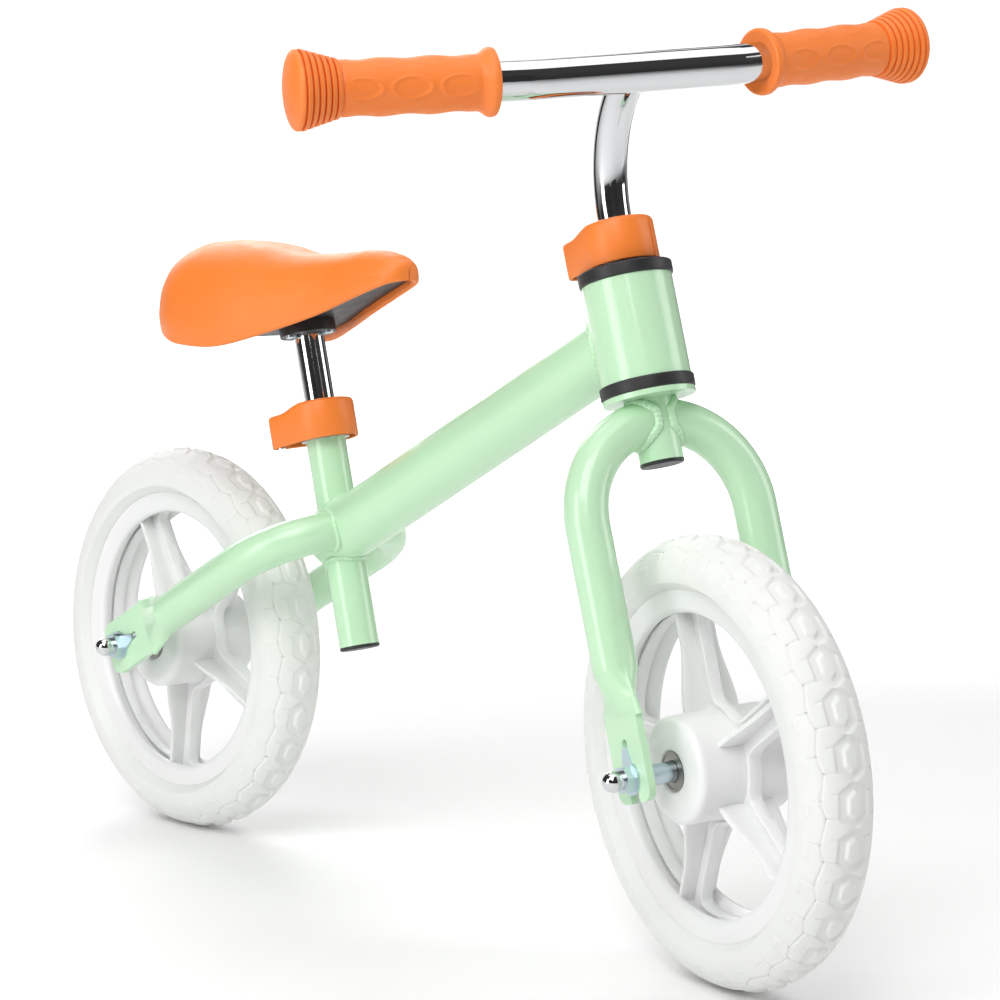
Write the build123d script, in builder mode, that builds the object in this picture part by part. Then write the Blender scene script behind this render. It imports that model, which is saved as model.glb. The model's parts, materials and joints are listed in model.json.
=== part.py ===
"""A child's balance bike: steel frame, foam-tyred wheels, sliding saddle and handlebar.

Frame of the part: +X forward, +Y to the rider's left, +Z up, millimetres.
The origin is where the rear tyre touches the ground.  The front fork is stored
turned a little to the right, and the handlebar a little further.
"""
from build123d import *
from math import cos, sin, tan, radians, sqrt, degrees, asin
import os

# ---------------------------------------------------------------- driving sizes
WHEELBASE = 573.4
WHEEL_RADIUS = 145.0
TYRE_WIDTH = 50.0
RIM_RADIUS = 112.0          # where the tyre sits on the rim
RIM_WIDTH = 35.0
RIM_LIP_RADIUS = 97.0       # inner edge of the rim ring
RIM_RING_WALL = 4.0
SPOKES = 5
REAR_SPOKE = 95.3           # direction of a wheel's first spoke, degrees down from forward
FRONT_SPOKE = 127.3
SPOKE_WIDTH = 22.0          # of the web, in the wheel's middle plane
SPOKE_WEB = 6.0
SPOKE_DEPTH = 28.0          # of the rib, along the axle
SPOKE_RIB = 3.6
WEB_RADIUS = 39.5           # of the web's disc round the hub
HUB_RADIUS = 34.5
HUB_WIDTH = 73.0

HEAD_ANGLE = 71.86          # steering axis from the ground, degrees
MAIN_TUBE_SLOPE = 28.6      # main tube from the ground, degrees
SEAT_ANGLE = 73.8           # seat tube from the ground, degrees
SEAT_TUBE_AT = 209.3        # rear axle to seat tube, along the main tube
STEER_TURN = -12.1          # stored turn of the fork, degrees, negative to the right
BAR_TURN = -3.8             # stored turn of the handlebar against the fork

MAIN_TUBE_RADIUS = 22.25
TUBE_WALL = 1.6
HEAD_TUBE_RADIUS = 29.25
HEAD_TUBE_WALL = 2.25
HEAD_TUBE_LENGTH = 65.6
MAIN_TUBE_TAIL = 12.0       # main tube past the seat tube's axis

SEAT_TUBE_ABOVE = 91.0      # from the main tube's axis up to the rim of the seat tube
SEAT_TUBE_BELOW = 81.0
CAP_THICK = 2.4
CAP_DEPTH = 6.0

STAY_WELD_AT = 221.0        # rear axle to the stays' root, along the main tube
STAY_BEND = 58.0            # bend radius of the stays
LEG_OFFSET = 62.5           # wheel plane to the centre of a leg or stay
ARCH_TOP = 220.5            # front axle to the top of the arch's centre line
STEERER_FOOT = 194.0        # front axle to the steerer's lower end
TAPER_START = 68.0          # axle to where a tube starts to flatten
PLATE_TOP = 38.0            # axle to where the tube is flat
PLATE_END = 15.5            # the plate past the axle
PLATE_WIDTH = 44.0
PLATE_THICK = 5.0
PLATE_INSIDE = 61.2         # wheel plane to the plate's inner face
PLATE_CORNER = 9.0
TAB_HOLE_AT = 22.0          # axle to the small hole that holds the safety washer
TAB_HOLE_RADIUS = 2.7

BUSH_FLANGE_RADIUS = 30.6
BUSH_FLANGE = 8.5
BUSH_DEPTH = 12.0
CROWN_DISC_RADIUS = 30.0
CROWN_DISC_THICK = 3.4
RUNNING_GAP = 0.05          # radial, a shaft in its bush
FACE_GAP = 0.1              # between faces that turn on each other
BODY_GAP = 0.4              # between bodies that only pass each other

AXLE_RADIUS = 5.0
BEARING_RADIUS = 13.0
BEARING_WIDTH = 8.0
RACE_WALL = 1.8
BALL_RADIUS = 1.85
BALLS = 7
SHIELD_THICK = 0.5
SLEEVE_RADIUS = 6.5
SPACER_RADIUS = 6.6
WASHER_RADIUS = 10.5
WASHER_THICK = 1.5
NUT_ACROSS_FLATS = 16.0
NUT_THICK = 6.0
ACORN_NECK = 6.0
ACORN_NECK_LENGTH = 6.0
ACORN_RADIUS = 6.9

POST_RADIUS = 11.1          # seat post and stem
SHIM_ROOM = 1.6             # between a post and the bore that it stands in
POST_WALL = 1.5
SHIM_LENGTH = 60.0
SHIM_FLANGE = 1.5
CLAMP_HEIGHT = 28.0
CLAMP_WALL = 3.0            # the metal band
SHELL_WALL = 2.2            # the plastic shell around it
BAND_HEIGHT = 23.0
EAR_HEIGHT = 14.0
EAR_THICK = 2.5
EAR_GAP = 2.0
SHELL_GAP = 4.5             # between the band and the shell around it
LOBE_REACH = 32.5           # tube axis to the lever's pin
LOBE_RADIUS = 7.5
LOBE_EXTRA = 30.0           # degrees of lobe past its tip
LOBE_DROP = 4.0             # the lobe's top is this much lower than the ring's
LOBE_START = 27.0           # tube axis to where the lobe's lower top begins
PIN_RADIUS = 2.0
BOLT_AT = 21.6              # tube axis to the clamp bolt
BOLT_RADIUS = 2.5
SEAT_CLAMP_TURN = 216.0     # direction of each lobe, degrees from straight ahead
HEAD_CLAMP_TURN = 198.0

STEM_FOOT = 215.0           # front axle to the stem's lower end
BAR_FORWARD = 59.4
BAR_UP = 431.5              # front axle to the bar, along the steering axis
BAR_RADIUS = 12.7
BAR_WALL = 1.6
BAR_STRAIGHT = 69.0         # half of the straight middle
BAR_HALF = 217.0
BAR_BACK = 0.145            # sweep per millimetre sideways
BAR_RISE = 0.072
BAR_BEND = 80.0

GRIP_START = 93.4
GRIP_LENGTH = 123.0
GRIP_RADIUS = 17.8
GRIP_FLANGE_RADIUS = 21.5
GRIP_FLANGE = 7.0
GRIP_CAP_RADIUS = 24.8
GRIP_CONE = 22.0
GRIP_DOME = 8.0
GRIP_RIM = 2.5
GRIP_GROOVES = 5

POST_FOOT = -28.0           # main tube axis to the seat post's lower end
BOSS_UNDERSIDE = 146.0      # main tube axis to the saddle's boss, along the seat tube
POST_HEAD = 160.0           # main tube axis to the saddle's reference point
BOSS_RADIUS = 20.5
SADDLE_SKIN = 5.0
SADDLE_PADDING = 16.0
SADDLE_RECESS = 4.0

# ---------------------------------------------------------------- derived places
APEX_ANGLE = 180 - HEAD_ANGLE - MAIN_TUBE_SLOPE
HEAD_AT = WHEELBASE * sin(radians(MAIN_TUBE_SLOPE)) / sin(radians(APEX_ANGLE))
MAIN_TUBE_LENGTH = WHEELBASE * sin(radians(HEAD_ANGLE)) / sin(radians(APEX_ANGLE))
HEAD_LOW = HEAD_AT - HEAD_TUBE_LENGTH / 2
HEAD_HIGH = HEAD_AT + HEAD_TUBE_LENGTH / 2
CROWN_TOP = HEAD_LOW - BUSH_FLANGE - FACE_GAP
HEAD_CLAMP_LOW = HEAD_HIGH + BUSH_FLANGE + FACE_GAP
STEERER_TOP = HEAD_CLAMP_LOW + CLAMP_HEIGHT - SHIM_FLANGE - 1.0
SEAT_CLAMP_LOW = SEAT_TUBE_ABOVE - CLAMP_HEIGHT + SHIM_FLANGE + 2.0
PLATE_OUTSIDE = PLATE_INSIDE + PLATE_THICK
NUT_START = PLATE_OUTSIDE + WASHER_THICK
ACORN_START = NUT_START + NUT_THICK
ACORN_CENTRE = ACORN_START + ACORN_NECK_LENGTH
ARCH_CENTRE = ARCH_TOP - LEG_OFFSET
TUBE_BORE = POST_RADIUS + SHIM_ROOM
SMALL_TUBE_RADIUS = TUBE_BORE + TUBE_WALL       # seat tube, stays, fork legs and steerer
SHELL_RADIUS = SMALL_TUBE_RADIUS + CLAMP_WALL + SHELL_GAP + SHELL_WALL
EAR_LEVEL = -LOBE_DROP / 2
STEM_BEND_START = HEAD_CLAMP_LOW + CLAMP_HEIGHT + 1.0


def turned(plane, angle):
    """The same plane turned about its own z, in degrees to the left."""
    x_dir = plane.x_dir * cos(radians(angle)) + plane.y_dir * sin(radians(angle))
    return Plane(origin=plane.origin, x_dir=x_dir, z_dir=plane.z_dir)


def leaning(origin, angle, turn=0.0):
    """A plane whose z runs up a tube that leans back from the ground, x forward."""
    tube = Plane(origin=origin, x_dir=(sin(radians(angle)), 0, cos(radians(angle))),
                 z_dir=(-cos(radians(angle)), 0, sin(radians(angle))))
    return turned(tube, turn)


def upright(plane):
    """The plane's own x and z, as a drawing plane for outlines seen from the side."""
    return Plane(origin=plane.origin, x_dir=plane.x_dir, z_dir=-plane.y_dir)


def across(plane):
    """The plane's own y and z, as a drawing plane for outlines seen from the front."""
    return Plane(origin=plane.origin, x_dir=plane.y_dir, z_dir=plane.x_dir)


def at(plane, x, y, z):
    """A point given in a plane's own axes."""
    return plane.from_local_coords(Vector(x, y, z))


def wheel_plane(plane):
    """An axle's plane: z along the axle to the left, x as given."""
    return Plane(origin=plane.origin, x_dir=plane.x_dir, z_dir=plane.y_dir)


REAR_AXLE = (0, 0, WHEEL_RADIUS)
FRONT_AXLE = (WHEELBASE, 0, WHEEL_RADIUS)
SLOPE = radians(MAIN_TUBE_SLOPE)
MAIN = Plane(origin=REAR_AXLE, x_dir=(cos(SLOPE), 0, sin(SLOPE)), z_dir=(-sin(SLOPE), 0, cos(SLOPE)))
HEAD = leaning(FRONT_AXLE, HEAD_ANGLE)
FORK = leaning(FRONT_AXLE, HEAD_ANGLE, STEER_TURN)
BAR = leaning(FRONT_AXLE, HEAD_ANGLE, STEER_TURN + BAR_TURN)
SEAT = leaning(at(MAIN, SEAT_TUBE_AT, 0, 0), SEAT_ANGLE)
REAR_WHEEL = wheel_plane(Plane(origin=REAR_AXLE, x_dir=(1, 0, 0), z_dir=(0, 0, 1)))
FRONT_WHEEL = wheel_plane(FORK)


def write(piece, label):
    piece.label = label
    export_step(piece, f"parts/{label}.step")


def axis_of(plane):
    return Axis(plane.origin, plane.z_dir)


def pipe(plane, low, high, outer, inner=0.0):
    """A round tube or rod along a plane's z."""
    with BuildPart() as piece:
        with BuildSketch(plane.offset(low)):
            Circle(outer)
            if inner:
                Circle(inner, mode=Mode.SUBTRACT)
        extrude(amount=high - low)
    return piece.part


def pipes(plane, low, high, outer, inner=0.0):
    """The same tube at both ends of an axle, as two solids."""
    with BuildPart() as pair:
        for start in (low, -high):
            with BuildSketch(plane.offset(start)):
                Circle(outer)
                if inner:
                    Circle(inner, mode=Mode.SUBTRACT)
            extrude(amount=high - low)
    return pair.part


# ---------------------------------------------------------------- frame
def main_tube():
    with BuildPart() as tube:
        with BuildSketch(Plane(origin=at(MAIN, SEAT_TUBE_AT - MAIN_TUBE_TAIL, 0, 0),
                               x_dir=MAIN.y_dir, z_dir=MAIN.x_dir)):
            Circle(MAIN_TUBE_RADIUS)
            Circle(MAIN_TUBE_RADIUS - TUBE_WALL, mode=Mode.SUBTRACT)
        extrude(amount=MAIN_TUBE_LENGTH - SEAT_TUBE_AT + MAIN_TUBE_TAIL)
        add(pipe(SEAT, -SEAT_TUBE_BELOW, SEAT_TUBE_ABOVE, SMALL_TUBE_RADIUS), mode=Mode.SUBTRACT)
        add(pipe(HEAD, HEAD_LOW - BUSH_FLANGE, HEAD_HIGH + BUSH_FLANGE, HEAD_TUBE_RADIUS),
            mode=Mode.SUBTRACT)
        for low in (HEAD_LOW - BUSH_FLANGE, HEAD_HIGH):
            add(pipe(HEAD, low, low + BUSH_FLANGE, BUSH_FLANGE_RADIUS + BODY_GAP),
                mode=Mode.SUBTRACT)
    return tube.part


def tapered_end(plane, side):
    """A tube's flattened end: round to flat, then a slotted plate round the axle.

    The plane's z runs up the tube from the axle and its y points along the axle.
    """
    plate_middle = side * (PLATE_INSIDE + PLATE_THICK / 2)
    with BuildPart() as end:
        for level, shift in ((TAPER_START, side * LEG_OFFSET), (PLATE_TOP, plate_middle)):
            with BuildSketch(Plane(origin=at(plane, 0, shift, level),
                                   x_dir=plane.x_dir, z_dir=plane.z_dir)):
                if level == TAPER_START:
                    Circle(SMALL_TUBE_RADIUS)
                else:
                    SlotOverall(PLATE_WIDTH, PLATE_THICK)
        loft()
        face = Plane(origin=at(plane, 0, plate_middle + PLATE_THICK / 2, 0),
                     x_dir=plane.x_dir, z_dir=-plane.y_dir)
        half = PLATE_WIDTH / 2 - PLATE_THICK / 2
        with BuildSketch(face):
            with BuildLine():
                FilletPolyline((-half, PLATE_TOP), (-half, -PLATE_END), (half, -PLATE_END),
                               (half, PLATE_TOP), radius=PLATE_CORNER)
                Line((half, PLATE_TOP), (-half, PLATE_TOP))
            make_face()
            add(dropout_slot(), mode=Mode.SUBTRACT)
        extrude(amount=PLATE_THICK)
        with BuildSketch(face.offset(-PLATE_THICK)):
            add(dropout_slot())
        extrude(amount=3 * PLATE_THICK, mode=Mode.SUBTRACT)
    return end.part


def dropout_slot():
    """A slot open past the axle, tapering the other way to a small round hole."""
    width = AXLE_RADIUS + 0.2
    with BuildSketch() as slot:
        Circle(width)
        with Locations((0, -PLATE_END)):
            Rectangle(2 * width, 2 * PLATE_END)
        with Locations((0, TAB_HOLE_AT)):
            Circle(TAB_HOLE_RADIUS)
        with BuildLine():
            Polyline((-width, 0), (width, 0), (TAB_HOLE_RADIUS - 0.6, TAB_HOLE_AT),
                     (0.6 - TAB_HOLE_RADIUS, TAB_HOLE_AT), close=True)
        make_face()
    return slot.sketch


def stay(side):
    """One rear stay: out of the main tube's side, round a bend, back to the axle."""
    down = Plane(origin=REAR_AXLE, x_dir=MAIN.z_dir, z_dir=MAIN.x_dir)
    if down.y_dir.Y < 0:
        down = Plane(origin=REAR_AXLE, x_dir=-MAIN.z_dir, z_dir=MAIN.x_dir)
    with BuildPart() as tube:
        with BuildLine(MAIN) as path:
            root = Line((STAY_WELD_AT, side), (STAY_WELD_AT, side * (LEG_OFFSET - STAY_BEND)))
            bend = TangentArc(root @ 1, (STAY_WELD_AT - STAY_BEND, side * LEG_OFFSET),
                              tangent=root % 1)
            Line(bend @ 1, (TAPER_START, side * LEG_OFFSET))
        with BuildSketch(Plane(origin=path.line @ 0, z_dir=path.line % 0)):
            Circle(SMALL_TUBE_RADIUS)
        sweep()
        add(tapered_end(down, side))
        add(main_tube_core(), mode=Mode.SUBTRACT)
    return tube.part


def main_tube_core():
    """The main tube's outer shape with no bore, to trim what is welded to it."""
    with BuildPart() as core:
        with BuildSketch(Plane(origin=at(MAIN, SEAT_TUBE_AT - 4 * MAIN_TUBE_TAIL, 0, 0),
                               x_dir=MAIN.y_dir, z_dir=MAIN.x_dir)):
            Circle(MAIN_TUBE_RADIUS)
        extrude(amount=MAIN_TUBE_LENGTH / 2)
    return core.part


def end_cap(plane, end, radius):
    """A push-in cap that closes a tube's lower end."""
    with BuildPart() as cap:
        add(pipe(plane, end - CAP_THICK, end, radius))
        add(pipe(plane, end, end + CAP_DEPTH, radius - TUBE_WALL, radius - TUBE_WALL - 2.0))
        chamfer(cap.faces().sort_by(axis_of(plane))[0].edges(), 0.8)
    return cap.part


def bush(flange_start, inward):
    """A flanged headset bush: a flange outside the head tube and a spigot inside."""
    flange_face = flange_start if inward > 0 else flange_start - BUSH_FLANGE
    spigot_low = flange_start + BUSH_FLANGE if inward > 0 else flange_face - BUSH_DEPTH
    bore = SMALL_TUBE_RADIUS + RUNNING_GAP
    with BuildPart() as piece:
        add(pipe(HEAD, flange_face, flange_face + BUSH_FLANGE, BUSH_FLANGE_RADIUS, bore))
        add(pipe(HEAD, spigot_low, spigot_low + BUSH_DEPTH, HEAD_TUBE_RADIUS - HEAD_TUBE_WALL, bore))
        rims = piece.edges().filter_by(GeomType.CIRCLE)
        fillet([e for e in rims if abs(e.radius - BUSH_FLANGE_RADIUS) < 0.01], 1.2)
    return piece.part


# ---------------------------------------------------------------- fork
def fork_leg(side):
    """Half of the fork's arch and one leg, mitred against the steerer."""
    front = across(FORK)
    with BuildPart() as leg:
        with BuildLine(front) as path:
            arch = CenterArc((0, ARCH_CENTRE), LEG_OFFSET, 90, -side * 90)
            Line(arch @ 1, (side * LEG_OFFSET, TAPER_START))
        with BuildSketch(Plane(origin=path.line @ 0, z_dir=path.line % 0)):
            Circle(SMALL_TUBE_RADIUS)
        sweep()
        add(tapered_end(FORK, side))
        add(pipe(FORK, STEERER_FOOT, STEERER_TOP, SMALL_TUBE_RADIUS), mode=Mode.SUBTRACT)
        with BuildSketch(FORK.offset(STEERER_FOOT)):
            with Locations((0, -side * LEG_OFFSET / 2)):
                Rectangle(4 * SMALL_TUBE_RADIUS, LEG_OFFSET + 1.0)
        extrude(amount=3 * SMALL_TUBE_RADIUS, mode=Mode.SUBTRACT)
    return leg.part


def crown_disc():
    """The round plate that the lower bush turns on."""
    low = CROWN_TOP - CROWN_DISC_THICK
    with BuildPart() as disc:
        add(pipe(FORK, low, CROWN_TOP, CROWN_DISC_RADIUS, SMALL_TUBE_RADIUS))
        for side in (-1, 1):
            add(fork_leg(side), mode=Mode.SUBTRACT)
    return disc.part


# ---------------------------------------------------------------- clamps
def clamp_plane(plane, low, turn):
    """A clamp's own plane: x from the tube towards the lever's pin, z up the tube."""
    return turned(plane, turn).offset(low + CLAMP_HEIGHT / 2)


def slab(plane, height, outline):
    """An outline in a clamp's plane, as thick as height about the clamp's middle."""
    with BuildPart() as piece:
        with BuildSketch(plane.offset(-height / 2)):
            add(outline)
        extrude(amount=height)
    return piece.part


def shell_wall(plane, outline):
    """A wall of the shell, whose top steps down at the lobe."""
    top = CLAMP_HEIGHT / 2
    with BuildPart() as piece:
        add(slab(plane, CLAMP_HEIGHT, outline))
        add(pipe(plane, top - LOBE_DROP, top, 2 * LOBE_REACH, LOBE_START), mode=Mode.SUBTRACT)
    return piece.part


def clamp_band(plane):
    """The split metal band with two ears, drilled for the bolt and the pin."""
    outer = SMALL_TUBE_RADIUS + CLAMP_WALL
    ear = EAR_GAP / 2 + EAR_THICK
    with BuildSketch() as ring:
        Circle(outer)
        Circle(SMALL_TUBE_RADIUS, mode=Mode.SUBTRACT)
        with Locations((outer, 0)):
            Rectangle(4 * CLAMP_WALL, EAR_GAP, mode=Mode.SUBTRACT)
    with BuildSketch() as ears:
        with Locations((LOBE_REACH / 2 + outer / 2, 0)):
            Rectangle(LOBE_REACH - outer + 2.0, 2 * ear)
        with Locations((LOBE_REACH, 0)):
            Circle(ear)
        Circle(SMALL_TUBE_RADIUS, mode=Mode.SUBTRACT)
        with Locations((LOBE_REACH / 2, 0)):
            Rectangle(2 * LOBE_REACH, EAR_GAP, mode=Mode.SUBTRACT)
        with Locations((LOBE_REACH, 0)):
            Circle(PIN_RADIUS, mode=Mode.SUBTRACT)
    with BuildPart() as band:
        add(slab(plane, BAND_HEIGHT, ring.sketch))
        add(slab(plane.offset(EAR_LEVEL), EAR_HEIGHT, ears.sketch))
        with BuildSketch(upright(plane).offset(-2 * ear)):
            with Locations((BOLT_AT, EAR_LEVEL)):
                Circle(BOLT_RADIUS)
        extrude(amount=4 * ear, mode=Mode.SUBTRACT)
    return band.part


def clamp_bolt(plane):
    """The bolt that draws the ears together, with its head and its nut."""
    ear = EAR_GAP / 2 + EAR_THICK
    sideways = upright(plane)
    with BuildPart() as bolt:
        with BuildSketch(sideways.offset(-ear - 3.0)):
            with Locations((BOLT_AT, EAR_LEVEL)):
                Circle(BOLT_RADIUS)
        extrude(amount=2 * ear + 6.0)
        for start in (-ear - 3.0, ear):
            with BuildSketch(sideways.offset(start)):
                with Locations((BOLT_AT, EAR_LEVEL)):
                    RegularPolygon(3.6, 6, major_radius=False)
            extrude(amount=3.0)
    return bolt.part


def tangent_angle():
    """Degrees from the lobe's direction to where its straight side leaves each circle."""
    return 90 - degrees(asin((SHELL_RADIUS - LOBE_RADIUS) / LOBE_REACH))


def wall_outline(side, inset, ring_end, lobe_end):
    """One side of the shell's wall, as a closed strip of the shell's thickness.

    It follows the ring from ring_end, runs straight to the lobe and round the
    lobe's tip to lobe_end, both in degrees; side is +1 or -1.
    """
    angle = tangent_angle()
    with BuildSketch() as strip:
        with BuildLine():
            edges = []
            for depth in (0.0, inset):
                ring, lobe = SHELL_RADIUS - depth, LOBE_RADIUS - depth
                a = CenterArc((0, 0), ring, side * ring_end, side * (angle - ring_end))
                if lobe_end < angle:
                    c = CenterArc((LOBE_REACH, 0), lobe, side * angle, side * (lobe_end - angle))
                    Line(a @ 1, c @ 0)
                    edges.append((a @ 0, c @ 1))
                else:
                    back = Vector(cos(radians(angle)), side * sin(radians(angle)))
                    stop = Vector(LOBE_REACH, 0) + back * lobe
                    away = (a @ 1 - stop).normalized()
                    b = Line(a @ 1, stop + away * lobe_end_trim())
                    edges.append((a @ 0, b @ 1))
            Line(edges[0][0], edges[1][0])
            Line(edges[0][1], edges[1][1])
        make_face()
    return strip.sketch


def lobe_end_trim():
    """How far short of the lobe the fixed cover stops, to clear the lever's root."""
    reach = LOBE_RADIUS + BODY_GAP
    return sqrt(reach ** 2 - (LOBE_RADIUS - SHELL_WALL) ** 2) + 0.3


def clamp_cover(plane):
    """The fixed half of the clamp's shell, snapped over the band."""
    with BuildSketch() as rib:
        Circle(SHELL_RADIUS - SHELL_WALL)
        Circle(SMALL_TUBE_RADIUS + CLAMP_WALL, mode=Mode.SUBTRACT)
        with Locations((0, SHELL_RADIUS)):
            Rectangle(4 * SHELL_RADIUS, 2 * SHELL_RADIUS + 15.0, mode=Mode.SUBTRACT)
    with BuildPart() as cover:
        add(shell_wall(plane, wall_outline(-1, SHELL_WALL, 178.0, tangent_angle() + 1)))
        add(slab(plane, BAND_HEIGHT / 2, rib.sketch))
    return cover.part


def clamp_lever(plane):
    """The quick-release lever: half of the shell, hinged on the pin in its lobe."""
    cheek_low = EAR_HEIGHT / 2 + BODY_GAP
    cheek = 2.0
    with BuildSketch() as root:
        with Locations((LOBE_REACH, 0)):
            Circle(LOBE_RADIUS - 0.7)
            Circle(PIN_RADIUS + RUNNING_GAP, mode=Mode.SUBTRACT)
    with BuildPart() as lever:
        add(shell_wall(plane, wall_outline(1, SHELL_WALL, 178.0, -LOBE_EXTRA)))
        for level in (cheek_low, -cheek_low - cheek):
            with BuildSketch(plane.offset(EAR_LEVEL + level)):
                add(root.sketch)
            extrude(amount=cheek)
    return lever.part


def clamp_pin(plane):
    half = EAR_HEIGHT / 2 + 3.0
    with BuildPart() as pin:
        with BuildSketch(plane.offset(EAR_LEVEL - half)):
            with Locations((LOBE_REACH, 0)):
                Circle(PIN_RADIUS)
        extrude(amount=2 * half)
    return pin.part


def shim(plane, top):
    """The plastic sleeve between a post and its tube, with a thin flange on top."""
    inner = POST_RADIUS + RUNNING_GAP
    with BuildPart() as sleeve:
        add(pipe(plane, top - SHIM_LENGTH, top + SHIM_FLANGE, TUBE_BORE - RUNNING_GAP, inner))
        add(pipe(plane, top + FACE_GAP, top + SHIM_FLANGE, SMALL_TUBE_RADIUS - 0.3, inner))
    return sleeve.part


# ---------------------------------------------------------------- wheels
def tyre(plane):
    """A solid foam tyre: rounded tread on a flat seat."""
    half_seat, crown = RIM_WIDTH / 2, TYRE_WIDTH / 2
    widest = WHEEL_RADIUS - crown
    with BuildPart() as piece:
        with BuildSketch(upright(plane)):
            with BuildLine():
                tread = CenterArc((widest, 0), crown, -90, 180)
                for end in (0, 1):
                    sign = 1 if end else -1
                    flank = Line(tread @ end, (widest - 3.0, sign * crown))
                    Line(flank @ 1, (RIM_RADIUS, sign * half_seat))
                Line((RIM_RADIUS, -half_seat), (RIM_RADIUS, half_seat))
            make_face()
        revolve(axis=axis_of(plane))
    return piece.part


def rim(plane):
    """The wheel's moulded rim: a ring with a lip at each side."""
    half_rim = RIM_WIDTH / 2
    lip = 3.5
    ring_inner = RIM_RADIUS - RIM_RING_WALL
    with BuildPart() as piece:
        with BuildSketch(upright(plane)):
            with BuildLine():
                Polyline((RIM_RADIUS, -half_rim), (RIM_RADIUS, half_rim), (RIM_LIP_RADIUS, half_rim),
                         (RIM_LIP_RADIUS, half_rim - lip), (ring_inner, half_rim - 2 * lip),
                         (ring_inner, 2 * lip - half_rim), (RIM_LIP_RADIUS, lip - half_rim),
                         (RIM_LIP_RADIUS, -half_rim), close=True)
            make_face()
        revolve(axis=axis_of(plane))
    return piece.part


def spoked_hub(plane, first_spoke):
    """The same moulding inside the rim: a drum for two bearings and five ribbed spokes."""
    half_hub = HUB_WIDTH / 2
    ring_inner = RIM_RADIUS - RIM_RING_WALL
    reach = ring_inner - HUB_RADIUS + 4
    middle = (ring_inner + HUB_RADIUS) / 2
    with BuildPart() as piece:
        with BuildSketch(upright(plane)):
            with BuildLine():
                Polyline((BEARING_RADIUS, half_hub), (HUB_RADIUS - 3, half_hub),
                         (HUB_RADIUS, half_hub - 3), (HUB_RADIUS, 3 - half_hub),
                         (HUB_RADIUS - 3, -half_hub), (BEARING_RADIUS, -half_hub),
                         (BEARING_RADIUS, BEARING_WIDTH - half_hub),
                         (SPACER_RADIUS + 2, BEARING_WIDTH - half_hub),
                         (SPACER_RADIUS + 2, half_hub - BEARING_WIDTH),
                         (BEARING_RADIUS, half_hub - BEARING_WIDTH), close=True)
            make_face()
        revolve(axis=axis_of(plane))
        for width, depth in ((SPOKE_WIDTH, SPOKE_WEB), (SPOKE_RIB, SPOKE_DEPTH)):
            with BuildSketch(plane.offset(-depth / 2)):
                with PolarLocations(middle, SPOKES, start_angle=first_spoke):
                    Rectangle(reach, width)
            extrude(amount=depth)
        with BuildSketch(plane.offset(-SPOKE_WEB / 2)):
            Circle(WEB_RADIUS)
            Circle(HUB_RADIUS - 2, mode=Mode.SUBTRACT)
        extrude(amount=SPOKE_WEB)
        add(rim(plane), mode=Mode.SUBTRACT)
    return piece.part


def bearing_outer(plane):
    start = HUB_WIDTH / 2 - BEARING_WIDTH
    return pipes(plane, start, HUB_WIDTH / 2, BEARING_RADIUS, BEARING_RADIUS - RACE_WALL)


def bearing_inner(plane):
    start = HUB_WIDTH / 2 - BEARING_WIDTH
    return pipes(plane, start, HUB_WIDTH / 2, AXLE_RADIUS + RACE_WALL, AXLE_RADIUS)


def bearing_shields(plane):
    """A thin steel shield just inside each face of both bearings."""
    face = HUB_WIDTH / 2 - 0.4
    inner = AXLE_RADIUS + RACE_WALL + BODY_GAP
    with BuildPart() as shields:
        for low in (face - SHIELD_THICK, face - BEARING_WIDTH + 0.8):
            add(pipes(plane, low, low + SHIELD_THICK, BEARING_RADIUS - RACE_WALL, inner))
    return shields.part


def bearing_balls(plane):
    pitch = AXLE_RADIUS + RACE_WALL + BALL_RADIUS
    middle = HUB_WIDTH / 2 - BEARING_WIDTH / 2
    with BuildPart() as balls:
        for level in (middle, -middle):
            with Locations(plane.offset(level)):
                with PolarLocations(pitch, BALLS):
                    Sphere(BALL_RADIUS)
    return balls.part


def axle_rod(plane):
    with BuildPart() as rod:
        add(pipe(plane, -ACORN_CENTRE, ACORN_CENTRE, AXLE_RADIUS))
        chamfer(rod.edges().filter_by(GeomType.CIRCLE), 0.8)
    return rod.part


def safety_washers(plane, towards):
    """Washers with a ribbed tab that reaches up the slot to the small hole.

    towards is the direction of the slot's closed end.
    """
    with BuildPart() as washers:
        for side in (-1, 1):
            low = PLATE_OUTSIDE if side > 0 else -NUT_START
            face = Plane(origin=at(plane, 0, 0, low), x_dir=towards, z_dir=plane.z_dir)
            with BuildSketch(face):
                Circle(WASHER_RADIUS)
                with BuildLine():
                    Polyline((0, WASHER_RADIUS - 2), (TAB_HOLE_AT - 2, 2.0), (TAB_HOLE_AT - 2, -2.0),
                             (0, 2 - WASHER_RADIUS), close=True)
                make_face()
                Circle(AXLE_RADIUS, mode=Mode.SUBTRACT)
            extrude(amount=WASHER_THICK)
    return washers.part


def hex_nuts(plane):
    with BuildPart() as nuts:
        for low in (NUT_START, -ACORN_START):
            with BuildSketch(plane.offset(low)):
                RegularPolygon(NUT_ACROSS_FLATS / 2, 6, major_radius=False)
                Circle(AXLE_RADIUS, mode=Mode.SUBTRACT)
            extrude(amount=NUT_THICK)
    return nuts.part


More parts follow.
